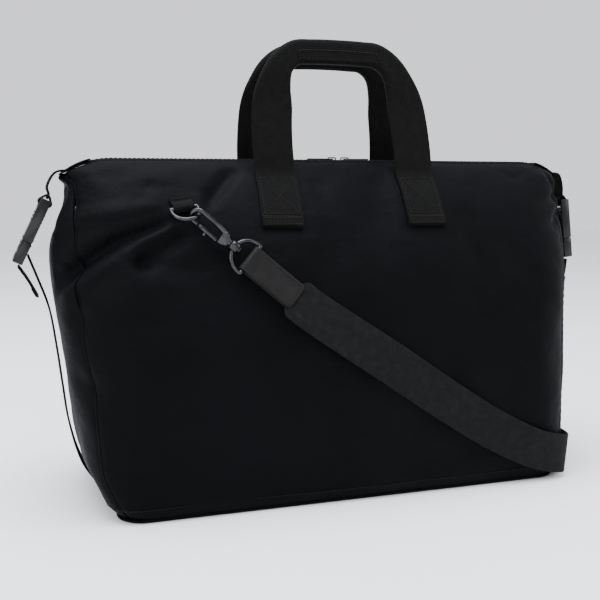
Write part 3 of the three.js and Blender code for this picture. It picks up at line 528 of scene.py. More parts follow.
SHELL = shell_look()
TAPE = webbing_look("bag_webbing", (0.0009, 0.0009, 0.0008), (0.0036, 0.0035, 0.0032), 0.0017, 0.0021, 0.012)
STRAP = webbing_look("strap_webbing", (0.0022, 0.0022, 0.0023), (0.0082, 0.0083, 0.0087), 0.0016, 0.0021,
                     0.02, 0.78)
ZIP_TAPE = webbing_look("zip_tape", (0.0009, 0.0009, 0.0011), (0.003, 0.003, 0.0034), 0.0011, 0.0016, 0.01)
HARDWARE = hardware_look()
PLASTIC = plastic_look()
LEATHER_LOOK = leather_look()
THREAD = thread_look("bag_thread", (0.0075, 0.0073, 0.0066))
DARK_THREAD = thread_look("dark_thread", (0.0022, 0.0022, 0.0026))
STRAP_THREAD = thread_look("strap_thread", (0.011, 0.011, 0.0105))
LINING = cloth_look("lining_cloth", (0.03, 0.031, 0.034), (0.05, 0.051, 0.055), 0.0012, 0.8)
BOARD = cloth_look("stiffening_board", (0.012, 0.012, 0.012), (0.02, 0.02, 0.02), 0.003, 0.7)


# ---------------------------------------------------------------- mesh helpers
def mesh_piece(name, points, faces, look, places=None, smooth=True):
    """A mesh from points in mm; places are UVs in mm, one for each point."""
    mesh = bpy.data.meshes.new(name)
    mesh.from_pydata([tuple(float(part) * MM for part in point) for point in points], [], faces)
    if places is not None:
        layer = mesh.uv_layers.new(name="UVMap")
        for loop in mesh.loops:
            place = places[loop.vertex_index]
            layer.data[loop.index].uv = (place[0] * MM, place[1] * MM)
    mesh.polygons.foreach_set("use_smooth", [smooth] * len(mesh.polygons))
    mesh.materials.append(look)
    mesh.update()
    piece = bpy.data.objects.new(name, mesh)
    bpy.context.scene.collection.objects.link(piece)
    return piece


def attach(piece, body, nodes=()):
    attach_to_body(piece, body)
    if nodes:
        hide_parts(*nodes)
    return piece


def crisp(piece, degrees=38):
    """Smooth faces that keep their real edges."""
    limit = math.cos(math.radians(degrees))
    mesh = piece.data
    sides = {}
    for polygon in mesh.polygons:
        for key in polygon.edge_keys:
            sides.setdefault(key, []).append(polygon.normal)
    for edge in mesh.edges:
        normals = sides.get(edge.key, [])
        edge.use_edge_sharp = len(normals) == 2 and normals[0].dot(normals[1]) < limit
    return piece


def sheet_piece(name, face, columns, rows, depth, look):
    """face(u, v) gives the outer point, its normal and its UV place."""
    outer = []
    inner = []
    places = []
    for j in range(rows + 1):
        for i in range(columns + 1):
            point, normal, place = face(i / columns, j / rows)
            outer.append(point)
            inner.append(point - normal * depth)
            places.append(place)
    wide = columns + 1
    below = len(outer)
    faces = []
    for j in range(rows):
        for i in range(columns):
            a = j * wide + i
            faces.append((a, a + 1, a + wide + 1, a + wide))
            faces.append((below + a, below + a + wide, below + a + wide + 1, below + a + 1))
    rim = list(range(columns))
    rim += [j * wide + columns for j in range(rows)]
    rim += [rows * wide + i for i in range(columns, 0, -1)]
    rim += [j * wide for j in range(rows, 0, -1)]
    for index, a in enumerate(rim):
        b = rim[(index + 1) % len(rim)]
        faces.append((a, below + a, below + b, b))
    piece = mesh_piece(name, outer + inner, faces, look, places + places)
    return crisp(piece, 62)


def joined(name, parts, look, smooth=True):
    """One mesh from several (points, faces, places) lists."""
    points = []
    faces = []
    places = []
    for part_points, part_faces, part_places in parts:
        start = len(points)
        points.extend(part_points)
        places.extend(part_places)
        faces.extend(tuple(start + index for index in face) for face in part_faces)
    return mesh_piece(name, points, faces, look, places, smooth)


def loft_rings(rings, places, looped=False):
    """Points, faces and flat UV places of a body lofted through closed rings."""
    size = len(rings[0])
    count = len(rings)
    faces = []
    for i in range(count if looped else count - 1):
        following = (i + 1) % count
        for j in range(size):
            k = (j + 1) % size
            faces.append((i * size + j, i * size + k, following * size + k, following * size + j))
    if not looped:
        faces.append(tuple(range(size))[::-1])
        last = (count - 1) * size
        faces.append(tuple(range(last, last + size)))
    points = [point for ring in rings for point in ring]
    return (*outward(points, faces), [place for row in places for place in row])


def outward(points, faces):
    """Turns every face round if the closed body is inside out."""
    array = np.array(points)
    volume = 0.0
    for face in faces:
        first = array[face[0]]
        for a, b in zip(face[1:-1], face[2:]):
            volume += float(np.dot(first, np.cross(array[a], array[b])))
    if volume < 0:
        faces = [face[::-1] for face in faces]
    return points, faces


def tangent_at(points, index, looped=False):
    count = len(points)
    before = points[(index - 1) % count] if looped else points[max(index - 1, 0)]
    after = points[(index + 1) % count] if looped else points[min(index + 1, count - 1)]
    return unit(after - before)


def tube(points, plane_normal, radius, looped=False, sides=14):
    """Round wire along a flat line; radius is a number or one for each point."""
    radii = radius if hasattr(radius, "__len__") else [radius] * len(points)
    rings = []
    places = []
    run = 0.0
    for index, point in enumerate(points):
        along = tangent_at(points, index, looped)
        side = unit(np.cross(along, plane_normal))
        out = np.cross(side, along)
        if index:
            run += float(np.linalg.norm(point - points[index - 1]))
        angles = [TAU * j / sides for j in range(sides)]
        rings.append([point + radii[index] * (side * math.cos(angle) + out * math.sin(angle))
                      for angle in angles])
        places.append([(run, radii[index] * angle) for angle in angles])
    return loft_rings(rings, places, looped)


LONG_STEPS = 8
CORNER_STEPS = 3


def strap_outline(half_width, half_thick, crown=0.0):
    """Rounded cross-section of a tape: (across, out, place round it)."""
    radius = min(half_thick * 0.85, half_width * 0.85)
    outline = []
    corners = [(1, -1, -90), (1, 1, 0), (-1, 1, 90), (-1, -1, 180)]
    for index, (a, b, start) in enumerate(corners):
        centre = (a * (half_width - radius), b * (half_thick - radius))
        for step in range(CORNER_STEPS + 1):
            angle = math.radians(start + 90 * step / CORNER_STEPS)
            outline.append([centre[0] + radius * math.cos(angle), centre[1] + radius * math.sin(angle)])
        if index in (1, 3):
            span = 2 * (half_width - radius)
            direction = -1 if index == 1 else 1
            begin = centre[0]
            for step in range(1, LONG_STEPS):
                outline.append([begin + direction * span * step / LONG_STEPS, b * half_thick])
    for spot in outline:
        share = spot[0] / half_width
        spot[1] += crown * (1 - share * share)
    return outline


def tape_stop(point, normal, width, thick, crown=0.0):
    """One station of a tape: where it is, the way it faces and its section in mm."""
    return {"point": point, "normal": normal, "width": width, "thick": thick, "crown": crown}


def tape_part(stations):
    """A tape along its stations; UV runs along and across it in mm."""
    points = [station["point"] for station in stations]
    rings = []
    places = []
    run = 0.0
    for index, station in enumerate(stations):
        along = tangent_at(points, index)
        side = unit(np.cross(along, station["normal"]))
        out = np.cross(side, along)
        if index:
            run += float(np.linalg.norm(points[index] - points[index - 1]))
        outline = strap_outline(station["width"] / 2, station["thick"] / 2, station["crown"])
        rings.append([station["point"] + side * x + out * y for x, y in outline])
        places.append([(run, x + 100) for x, y in outline])
    return loft_rings(rings, places)


def tape_piece(name, stations, look):
    return crisp(joined(name, [tape_part(stations)], look), 60)


def curve_through(points, count):
    """Centripetal curve through the points, sampled evenly between each two of them."""
    points = [np.asarray(point, float) for point in points]
    last = len(points) - 1
    found = []
    for step in range(count + 1):
        place = last * step / count
        index = min(int(place), last - 1)
        share = place - index
        p1 = points[index]
        p2 = points[index + 1]
        p0 = points[index - 1] if index else 2 * p1 - p2
        p3 = points[index + 2] if index + 2 <= last else 2 * p2 - p1
        d0, d1, d2 = (max(np.linalg.norm(b - a) ** 0.5, 1e-4) for a, b in ((p0, p1), (p1, p2), (p2, p3)))
        t1 = ((p1 - p0) / d0 - (p2 - p0) / (d0 + d1) + (p2 - p1) / d1) * d1
        t2 = ((p2 - p1) / d1 - (p3 - p1) / (d1 + d2) + (p3 - p2) / d2) * d1
        c2 = -3 * p1 + 3 * p2 - 2 * t1 - t2
        c3 = 2 * p1 - 2 * p2 + t1 + t2
        found.append(p1 + t1 * share + c2 * share ** 2 + c3 * share ** 3)
    return found


def evenly(points, count):
    """The same line with points at even distances."""
    array = np.array(points)
    runs = np.concatenate([[0], np.cumsum(np.linalg.norm(np.diff(array, axis=0), axis=1))])
    wanted = np.linspace(0, runs[-1], count + 1)
    return [np.array([np.interp(place, runs, array[:, axis]) for axis in range(3)]) for place in wanted]


class Frame:
    """A local frame; X lies along the first direction and Y close to the second."""

    def __init__(self, origin, x_axis, y_axis):
        self.origin = np.asarray(origin, float)
        self.x = unit(x_axis)
        self.z = unit(np.cross(self.x, y_axis))
        self.y = np.cross(self.z, self.x)

    def out(self, x, y, z=0.0):
        return self.origin + self.x * x + self.y * y + self.z * z


def lathe_part(place, profile, sides=28):
    """A turned body round local X from (along, radius) pairs."""
    rings = []
    places = []
    for along, radius in profile:
        angles = [TAU * j / sides for j in range(sides)]
        rings.append([place.out(along, radius * math.cos(a), radius * math.sin(a)) for a in angles])
        places.append([(along, radius * a) for a in angles])
    return loft_rings(rings, places)


def plate_part(place, outline, low, high, edge=0.4):
    """A plate with eased edges over a convex outline in local X and Y, from z low to z high."""
    centre = np.mean(np.array(outline), axis=0)

    def ring(shrink, z):
        spots = []
        for spot in outline:
            offset = np.array(spot) - centre
            shorter = offset * max(0.0, 1 - shrink / max(np.linalg.norm(offset), 1e-6))
            spots.append(place.out(centre[0] + shorter[0], centre[1] + shorter[1], z))
        return spots

    steps = [(edge, low), (0.3 * edge, low + 0.3 * edge), (0, low + edge), (0, high - edge),
             (0.3 * edge, high - 0.3 * edge), (edge, high)]
    rings = [ring(shrink, z) for shrink, z in steps]
    places = [[(x, y) for x, y in outline] for _ in steps]
    return loft_rings(rings, places)


def rounded_outline(half_x, half_y, radius, centre=(0, 0), steps=5):
    outline = []
    for a, b, start in ((1, -1, -90), (1, 1, 0), (-1, 1, 90), (-1, -1, 180)):
        for step in range(steps + 1):
            angle = math.radians(start + 90 * step / steps)
            outline.append((centre[0] + a * (half_x - radius) + radius * math.cos(angle),
                            centre[1] + b * (half_y - radius) + radius * math.sin(angle)))
    return outline


def refined(name, node, look, width, segments):
    """A bevelled copy of a CAD node's solid."""
    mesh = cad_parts[node].data.copy()
    mesh.materials.clear()
    mesh.materials.append(look)
    piece = bpy.data.objects.new(name, mesh)
    bpy.context.scene.collection.objects.link(piece)
    weld = piece.modifiers.new("weld", "WELD")
    weld.merge_threshold = 0.00001
    flat = piece.modifiers.new("flat", "DECIMATE")
    flat.decimate_type = "DISSOLVE"
    flat.angle_limit = math.radians(2)
    ease_edges = piece.modifiers.new("edges", "BEVEL")
    ease_edges.width = width * MM
    ease_edges.segments = segments
    ease_edges.limit_method = "ANGLE"
    ease_edges.angle_limit = math.radians(35)
    ease_edges.harden_normals = True
    applied(piece)
    piece.data.polygons.foreach_set("use_smooth", [True] * len(piece.data.polygons))
    return crisp(piece, 32)


def node_piece(name, node, look, body, width, segments=2):
    """A bevelled copy of a CAD node, shown in the node's place."""
    return attach(refined(name, node, look, width, segments), body, [node])


def applied(piece):
    """Bakes the piece's modifiers into its mesh."""
    graph = bpy.context.evaluated_depsgraph_get()
    graph.update()
    mesh = bpy.data.meshes.new_from_object(piece.evaluated_get(graph))
    piece.modifiers.clear()
    old = piece.data
    piece.data = mesh
    bpy.data.meshes.remove(old)
    return piece


STITCH = 3.2
STITCH_PITCH = 4.1
THREAD_RADIUS = 0.34


def stitch_parts(line, normals, length=STITCH, pitch=STITCH_PITCH, radius=THREAD_RADIUS):
    """Short arched threads end to end along a line on a surface."""
    array = np.array(line)
    normal_array = np.array(normals)
    runs = np.concatenate([[0], np.cumsum(np.linalg.norm(np.diff(array, axis=0), axis=1))])
    count = max(1, int(runs[-1] / pitch))
    parts = []
    for index in range(count):
        start = (index + 0.5) * runs[-1] / count - length / 2
        spots = []
        for share, lift in ((0, -0.35), (0.14, 0.1), (0.5, 0.28), (0.86, 0.1), (1, -0.35)):
            place = start + share * length
            point = np.array([np.interp(place, runs, array[:, axis]) for axis in range(3)])
            normal = unit([np.interp(place, runs, normal_array[:, axis]) for axis in range(3)])
            spots.append(point + normal * lift)
        side = unit(np.cross(unit(spots[-1] - spots[0]), normal))
        parts.append(tube(spots, side, [radius * 0.55, radius, radius, radius, radius * 0.55], sides=6))
    return parts


def surface_line(side, places, lift, steps=10):
    """A line on the front or back wall through (x, z) places, with its normals."""
    points = []
    normals = []
    for a, b in zip(places, places[1:]):
        for step in range(steps + 1):
            x = blended(a[0], b[0], step / steps)
            z = blended(a[1], b[1], step / steps)
            spot, normal = face_point(side, x, z, lift)
            points.append(spot)
            normals.append(normal)
    return points, normals


# ---------------------------------------------------------------- shell
PANEL_NODES = {"front": "front_panel", "right": "right_end_panel", "back": "back_panel",
               "left": "left_end_panel"}
LINING_GAP = 1.0
PANEL_RISE = 320.0     # height of a panel along the cloth, for its UV places
THREAD_LIFT = 0.1
WELT_SINK = 1.5
WELT_RADIUS = 1.1
BASE_SEAM_SHARE = 0.032
BASE_SEAM_STEPS = 320
LINING_THICK = 1.2
PANEL_GRID = {"front": (190, 120), "back": (130, 84), "left": (60, 96), "right": (60, 96)}


def soft_wall(q, t):
    """The sagged outer face of the shell."""
    point, normal = wall_at(q, t)
    return point + normal * slack(q, t, point), normal


def shell_panel(panel):
    columns, rows = PANEL_GRID[panel]

    def face(u, v):
        t = 1 - (1 - v) ** 1.25
        start, width = panel_span(panel, t)
        q = start + SEAM_HALF + (width - 2 * SEAM_HALF) * u
        point, normal = soft_wall(q, t)
        from_edge = min(u, 1 - u) * width
        gather = PUCKER * math.exp(-((from_edge - 5) / 5) ** 2) * math.sin(TAU * point[2] / PUCKER_PITCH)
        roll = 0.9 * math.exp(-from_edge / 1.8)
        point = point + normal * (gather * ease(t, 0.03, 0.1) * (1 - ease(t, 0.9, 0.98)) - roll)
        return point, normal, (q, t * PANEL_RISE)
    piece = sheet_piece(f"shell_{panel}", face, columns, rows, FABRIC, SHELL)
    attach(piece, "bag", [PANEL_NODES[panel]])
    return piece


def soft_lining():
    """The lining cup, slack with the shell and always inside it."""
    columns, rows = ((240, 64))

    def face(u, v):
        t = blended(0.05, 0.88, v)
        start, front_width = panel_span("front", t)
        _, end_width = panel_span("left", t)
        q = start + 2 * (front_width + end_width) * u
        point, normal = soft_wall(q, t)
        return point - normal * (FABRIC + LINING_GAP), normal, (q, t * PANEL_RISE)
    piece = sheet_piece("soft_lining", face, columns, rows, LINING_THICK, LINING)
    return attach(piece, "bag", ["lining"])


def seam_line(panel, steps=90):
    """Points up the seam at the start of a panel, with their normals."""
    points = []
    normals = []
    for step in range(steps + 1):
        t = 0.02 + 0.955 * step / steps
        start, _ = panel_span(panel, t)
        point, normal = soft_wall(start, t)
        points.append(point + normal * THREAD_LIFT)
        normals.append(normal)
    return points, normals


def corner_seams():
    """Quiet welts sunk in the seams up the four corners."""
    welts = []
    for panel in PANEL_NODES:
        points, normals = seam_line(panel)
        line = [point - normal * WELT_SINK for point, normal in zip(points, normals)]
        welts.append(tube(line, unit(normals[len(normals) // 2]), WELT_RADIUS, sides=10))
    return attach(joined("seam_welts", welts, SHELL), "bag")


def base_piece():
    """Soft-edged base sheet under the wall, with its seam stitching."""
    half_x = BASE_HALF_LENGTH - FOOT_INSET
    half_y = BASE_HALF_DEPTH - FOOT_INSET
    place = Frame((0, 0, 0), (1, 0, 0), (0, 1, 0))
    outline = rounded_outline(half_x, half_y, BASE_CORNER - FOOT_INSET, steps=12)
    piece = crisp(joined("base", [plate_part(place, outline, 0.0, BASE_SHEET, 1.1)], SHELL))
    attach(piece, "bag", ["base_panel"])
    points = []
    normals = []
    _, front_width = panel_span("front", 0.03)
    _, end_width = panel_span("left", 0.03)
    total = 2 * (front_width + end_width)
    for step in range(BASE_SEAM_STEPS + 1):
        point, normal = soft_wall(total * step / BASE_SEAM_STEPS, BASE_SEAM_SHARE)
        points.append(point + normal * THREAD_LIFT)
        normals.append(normal)
    attach(joined("base_stitching", stitch_parts(points, normals), DARK_THREAD), "bag")
    return piece


# ---------------------------------------------------------------- zip
ZIP_HALF = 202.0
ZIP_END = TOP_HALF_LENGTH - 19
TOOTH_PITCH = 2.0
TOOTH_OFFSET = 1.55
TOOTH_HEIGHT = 2.1
TAPE_INNER = 3.0
TAPE_OUTER = 12.8
LIP_INNER = 6.0
LIP_OUTER = 15.6
LIP_RISE = 1.5


def zip_tapes():
    for word, side in (("front", -1), ("back", 1)):
        def face(u, v):
            x = -ZIP_END + 2 * ZIP_END * u
            y = side * blended(TAPE_INNER, TAPE_OUTER, v if side > 0 else 1 - v)
            ripple = 0.12 * math.sin(x * 0.19) * abs(y) / TAPE_OUTER
            return np.array([x, y, HEIGHT - 0.4 - droop_at(x) + ripple]), UP, (x, y)
        piece = sheet_piece(f"zip_tape_{word}", face, 160, 4, 1.0, ZIP_TAPE)
        attach(piece, "bag", [f"zip_tape_{word}"])


def zip_teeth():
    """A row of moulded teeth each side; the two rows alternate."""
    for word, side in (("front", -1), ("back", 1)):
        parts = []
        shift = TOOTH_PITCH / 2 if side > 0 else 0.0
        count = int(2 * ZIP_HALF / TOOTH_PITCH) - 1
        for index in range(count):
            x = -ZIP_HALF + shift + 0.8 + index * TOOTH_PITCH
            place = Frame((x, side * TOOTH_OFFSET, HEIGHT - TOOTH_OFFSET), (1, 0, 0), (0, 1, 0))
            outline = [(-0.55, -0.95), (0.55, -0.95), (0.78, 0.0), (0.55, 0.95), (-0.55, 0.95), (-0.78, 0.0)]
            parts.append(plate_part(place, outline, 0.0, TOOTH_HEIGHT, 0.22))
        cord = [np.array([x, side * 2.35, HEIGHT - 0.5]) for x in np.linspace(-ZIP_HALF, ZIP_HALF, 60)]
        parts.append(tube(cord, UP, 0.5, sides=8))
        piece = joined(f"zip_teeth_{word}", parts, PLASTIC)
        attach(piece, "bag", [f"zip_teeth_{word}"])


def top_hems():
    """The shell's turned upper edge, lapped over the zip tape and stitched twice."""
    for word, side in (("front", -1), ("back", 1)):
        def face(u, v):
            x = -ZIP_END - 14 + 2 * (ZIP_END + 14) * u
            near_end = ease(abs(x), ZIP_END - 26, ZIP_END + 14)
            y = blended(LIP_INNER, LIP_OUTER, v if side > 0 else 1 - v)
            y = y * (1 - 0.25 * near_end)
            crown = 0.9 * math.sin(math.pi * clamp((y - LIP_INNER) / (LIP_OUTER - LIP_INNER))) ** 0.7
            gather = 0.22 * math.sin(x * TAU / 8.5) * ease(y, LIP_INNER, LIP_OUTER - 2)
            turn_down = 1.9 * ease(y, LIP_OUTER - 3, LIP_OUTER)
            z = HEIGHT - droop_at(x) + LIP_RISE + crown * 0.6 + gather - turn_down
            return np.array([x, side * y, z]), UP, (x, y)
        piece = sheet_piece(f"top_hem_{word}", face, 220, 10, 1.4, SHELL)
        attach(piece, "bag")
        threads = []
        for y in (LIP_INNER + 1.7, LIP_OUTER - 4.2):
            line = [np.array([x, side * y, HEIGHT - droop_at(x) + LIP_RISE + 0.62])
                    for x in np.linspace(-ZIP_END - 4, ZIP_END + 4, 120)]
            threads += stitch_parts(line, [UP] * len(line))
        attach(joined(f"top_stitching_{word}", threads, THREAD), "bag")


def end_tabs():
    """Cloth tabs that close the zip's ends inside the pinched corners."""
    for word, side in (("left", -1), ("right", 1)):
        stations = []
        for share in np.linspace(0, 1, 14):
            x = side * blended(ZIP_END - 8, TOP_HALF_LENGTH - 1, share)
            z = HEIGHT - droop_at(x) + 3.2 - 2.2 * share ** 2
            stations.append(tape_stop(np.array([x, 0, z]), UP, 29 - 3 * share, 1.4, 0.3))
        attach(tape_piece(f"zip_end_tab_{word}", stations, SHELL), "bag")


def zip_hardware():
    for word in ("left", "right"):
        node_piece(f"zip_end_stop_{word}", f"zip_stop_{word}", HARDWARE, "bag", 0.3)
        node_piece(f"slider_{word}", f"zip_slider_{word}", HARDWARE, f"zip_{word}", 0.3, 3)
        node_piece(f"pull_{word}", f"zip_pull_{word}", HARDWARE, f"zip_{word}_pull", 0.35, 3)


# ---------------------------------------------------------------- handles
HANDLE_SIDES = {"front": -1, "back": 1}
HANDLE_THICK = 2.3
LEG_SHARES = [(0, 0), (0, 0.25), (-2, 0.49), (-6, 0.71), (-15, 0.893), (-29, 0.987), (-44, 1)]
HEM_LENGTH = 8.5
PATCH_STITCH = 2.6
PATCH_PITCH = 3.3
GRIP_HALF_LENGTH = 40.0
LAP_WIDTH = 11.5
LAP_DROP = 4.2


def handle_line(side):
    foot = face_point(side, HANDLE_SPREAD, HANDLE_FOOT, GAP + WEBBING_THICK * 0.9)[0]
    inward = unit([0, -side * HANDLE_LEAN, 1])
    route = [(HANDLE_SPREAD + shift, share * HANDLE_RISE) for shift, share in LEG_SHARES]

    def place(x, rise):
        shifted = x + HANDLE_CENTRE - HANDLE_SWAY * rise / HANDLE_RISE
        return np.array([shifted, foot[1], foot[2]]) + inward * rise
    left = [place(-x, rise) for x, rise in route]
    right = [place(x, rise) for x, rise in reversed(route)]
    top = place(0, HANDLE_RISE + 0.5)
    return foot, evenly(curve_through(left + [top] + right, 300), 150)


def handle_stations(side):
    foot, line = handle_line(side)
    out = unit([0, side, HANDLE_LEAN])
    stations = []
    for point in line:
        rise = (point[2] - foot[2]) / HANDLE_RISE
        fold = ease(rise, 0.5, 0.97)
        width = 2 * blended(WEBBING / 2, GRIP_HALF_HEIGHT, fold)
        thick = 2 * blended(HANDLE_THICK / 2, GRIP_HALF_DEPTH, fold)
        stations.append(tape_stop(point, out, width, thick))
    sewn = {}
    for end in (-1, 1):
        x = HANDLE_CENTRE + end * HANDLE_SPREAD
        sewn[end] = []
        for share in np.linspace(0, 1, 16):
            z = HANDLE_FOOT - FLEX_GAP - HANDLE_PATCH * (1 - share)
            point, normal = face_point(side, x, z, GAP + WEBBING_THICK * 0.55)
            sewn[end].append(tape_stop(point, normal, WEBBING, HANDLE_THICK))
    return sewn[-1] + stations[1:-1] + sewn[1][::-1]


def handle_piece(word):
    side = HANDLE_SIDES[word]
    piece = tape_piece(f"{word}_carry_handle", handle_stations(side), TAPE)
    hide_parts(f"{word}_handle", f"{word}_handle_anchor_left", f"{word}_handle_anchor_right")
    foot = face_point(side, HANDLE_SPREAD, HANDLE_FOOT, GAP)[0] * MM
    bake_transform(piece)
    return piece


def handle_patches(word):
    """Turned hem, box and cross stitching on each sewn end."""
    side = HANDLE_SIDES[word]
    hems = []
    threads = []
    top = HANDLE_FOOT - FLEX_GAP - 1.5
    low = HANDLE_FOOT - FLEX_GAP - HANDLE_PATCH
    lift = GAP + WEBBING_THICK * 0.55 + HANDLE_THICK / 2
    for centre in (HANDLE_CENTRE - HANDLE_SPREAD, HANDLE_CENTRE + HANDLE_SPREAD):
        stations = []
        for share in np.linspace(0, 1, 6):
            point, normal = face_point(side, centre, low + 0.6 + HEM_LENGTH * share, lift + 0.55)
            stations.append(tape_stop(point, normal, WEBBING - 0.8, 1.5, 0.35))
        hems.append(tape_part(stations))
        left = centre - WEBBING / 2 + 3.2
        right = centre + WEBBING / 2 - 3.2
        foot = low + HEM_LENGTH + 2.4
        box = [(left, foot), (right, foot), (right, top), (left, top), (left, foot)]
        for places in (box, [(left, foot), (right, top)], [(right, foot), (left, top)]):
            run = surface_line(side, places, lift + 0.08)
            threads += stitch_parts(*run, length=PATCH_STITCH, pitch=PATCH_PITCH, radius=0.36)
        for height in (1.6, HEM_LENGTH - 1.4):
            line = [(centre - WEBBING / 2 + 2, low + height), (centre + WEBBING / 2 - 2, low + height)]
            run = surface_line(side, line, lift + 1.55)
            threads += stitch_parts(*run, length=PATCH_STITCH, pitch=PATCH_PITCH)
    attach(joined(f"{word}_patch_hems", hems, TAPE), "bag")
    attach(joined(f"{word}_patch_stitching", threads, THREAD), "bag")


def grip_details(word):
    """The folded grip's closing seam: a lapped edge and stitching along its lower side."""
    side = HANDLE_SIDES[word]
    _, line = handle_line(side)
    out = unit([0, side, HANDLE_LEAN])
    grip = [point for point in line if abs(point[0] - HANDLE_CENTRE + HANDLE_SWAY) < GRIP_HALF_LENGTH]
    lap = []
    for index, point in enumerate(grip):
        share = index / (len(grip) - 1)
        narrow = 1 - 0.5 * abs(2 * share - 1) ** 6
        spot = point + out * (GRIP_HALF_DEPTH + 0.15) - UP * LAP_DROP
        lap.append(tape_stop(spot, out, LAP_WIDTH * narrow, 1.5, 0.25))
    attach(joined(f"{word}_grip_lap", [tape_part(lap)], TAPE), f"{word}_handle")
    threads = []
    for lift, rise in ((0.85, 4.0), (0.95, -3.4)):
        run = [spot["point"] + out * lift + UP * rise for spot in lap]
        threads += stitch_parts(run, [out] * len(run))
    attach(joined(f"{word}_grip_stitching", threads, THREAD), f"{word}_handle")


# ---------------------------------------------------------------- rings and hooks
RING_PLACES = {
    "front": {"side": -1, "x": -RING_X, "turn": math.radians(10), "hook_turn": math.radians(45),
              "run_end": (-50, 180), "run_lift": 5.5},
    "back": {"side": 1, "x": RING_X, "turn": math.radians(-10), "hook_turn": math.radians(90),
             "run_end": (192, 102), "run_lift": 16.0},
}
RING_TAB_WIDTH = 18.0


def turned(vector, axis, angle):
    return np.array(Matrix.Rotation(angle, 3, Vector(axis)) @ Vector(vector))


def ring_frames(word):
    """Local frames of the tab, the ring, the hook and the strap's end."""
    spec = RING_PLACES[word]
    origin, normal = face_point(spec["side"], spec["x"], RING_Z, RING_LIFT)
    rightward = np.array([-spec["side"], 0.0, 0.0])
    up = unit(np.cross(normal, rightward))
    across = turned(rightward, normal, spec["turn"])
    rise = turned(up, normal, spec["turn"])
    hang = rise * math.cos(RING_TILT) - normal * math.sin(RING_TILT)
    ring = Frame(origin, across, hang)
    end = face_point(spec["side"], *spec["run_end"], spec["run_lift"])[0]
    pull = end - origin
    swing = math.atan2(float(pull @ across), -float(pull @ rise))
    caught = ring.out(RING_HALF * math.sin(swing), -RING_SIDE - RING_HALF * math.cos(swing))
    along = unit(end - caught)
    seat = caught + along * HOOK_SEAT
    middle = (caught + end) / 2
    outward_normal = face_point(spec["side"], middle[0], middle[2])[1]
    sideways = unit(np.cross(outward_normal, along))
    lift = unit(np.cross(along, sideways))
    hook_across = sideways * math.cos(spec["hook_turn"]) + lift * math.sin(spec["hook_turn"])
    return {"tab": Frame(origin, across, rise), "ring": ring, "hook": Frame(seat, along, hook_across),
            "strap": Frame(seat, along, sideways), "lift": lift, "seat": seat, "along": along}


FRAMES = {word: ring_frames(word) for word in RING_PLACES}


def d_line(place, half, straight, convert):
    spots = [(-half + 2 * half * k / 12, 0.0) for k in range(12)]
    spots += [(half, -straight * k / 4) for k in range(4)]
    angles = [math.pi * k / 28 for k in range(28)]
    spots += [(half * math.cos(angle), -straight - half * math.sin(angle)) for angle in angles]
    spots += [(-half, -straight * (1 - k / 4)) for k in range(4)]
    return [place.out(*convert(x, y)) for x, y in spots]


def ring_tab(word):
    """Webbing folded over the ring's bar and stitched below it."""
    place = FRAMES[word]["tab"]
    wrap = WIRE + GAP + 0.75
    profile = [(12, -RING_LIFT + 2.6), (7.5, -RING_LIFT + 2.9), (3.5, wrap - 1.0)]
    profile += [(wrap * math.sin(a), wrap * math.cos(a)) for a in np.radians(np.linspace(10, -170, 14))]
    profile += [(3.2, -RING_LIFT + 1.3), (7.5, -RING_LIFT + 1.15), (12, -RING_LIFT + 1.1)]
    points = [place.out(0, rise, lift) for rise, lift in profile]
    line = evenly(curve_through(points, 80), 60)
    stations = []
    for index, point in enumerate(line):
        along = tangent_at(line, index)
        stations.append(tape_stop(point, unit(np.cross(place.x, along)), RING_TAB_WIDTH, 1.4))
    piece = tape_piece(f"{word}_loop_tab", stations, TAPE)
    attach(piece, "bag", [f"{word}_ring_tab"])
    threads = []
    for rise in (6.2, 10.0):
        run = [place.out(x, rise, -RING_LIFT + 3.75) for x in np.linspace(-7.4, 7.4, 12)]
        threads += stitch_parts(run, [place.z] * len(run), length=2.2, pitch=2.9)
    attach(joined(f"{word}_loop_tab_stitching", threads, THREAD), "bag")


def d_ring(word):
    place = FRAMES[word]["ring"]
    line = d_line(place, RING_HALF, RING_SIDE, lambda x, y: (x, y))
    piece = joined(f"{word}_ring", [tube(line, place.z, WIRE, looped=True, sides=18)], HARDWARE)
    attach(piece, f"{word}_ring", [f"{word}_d_ring"])


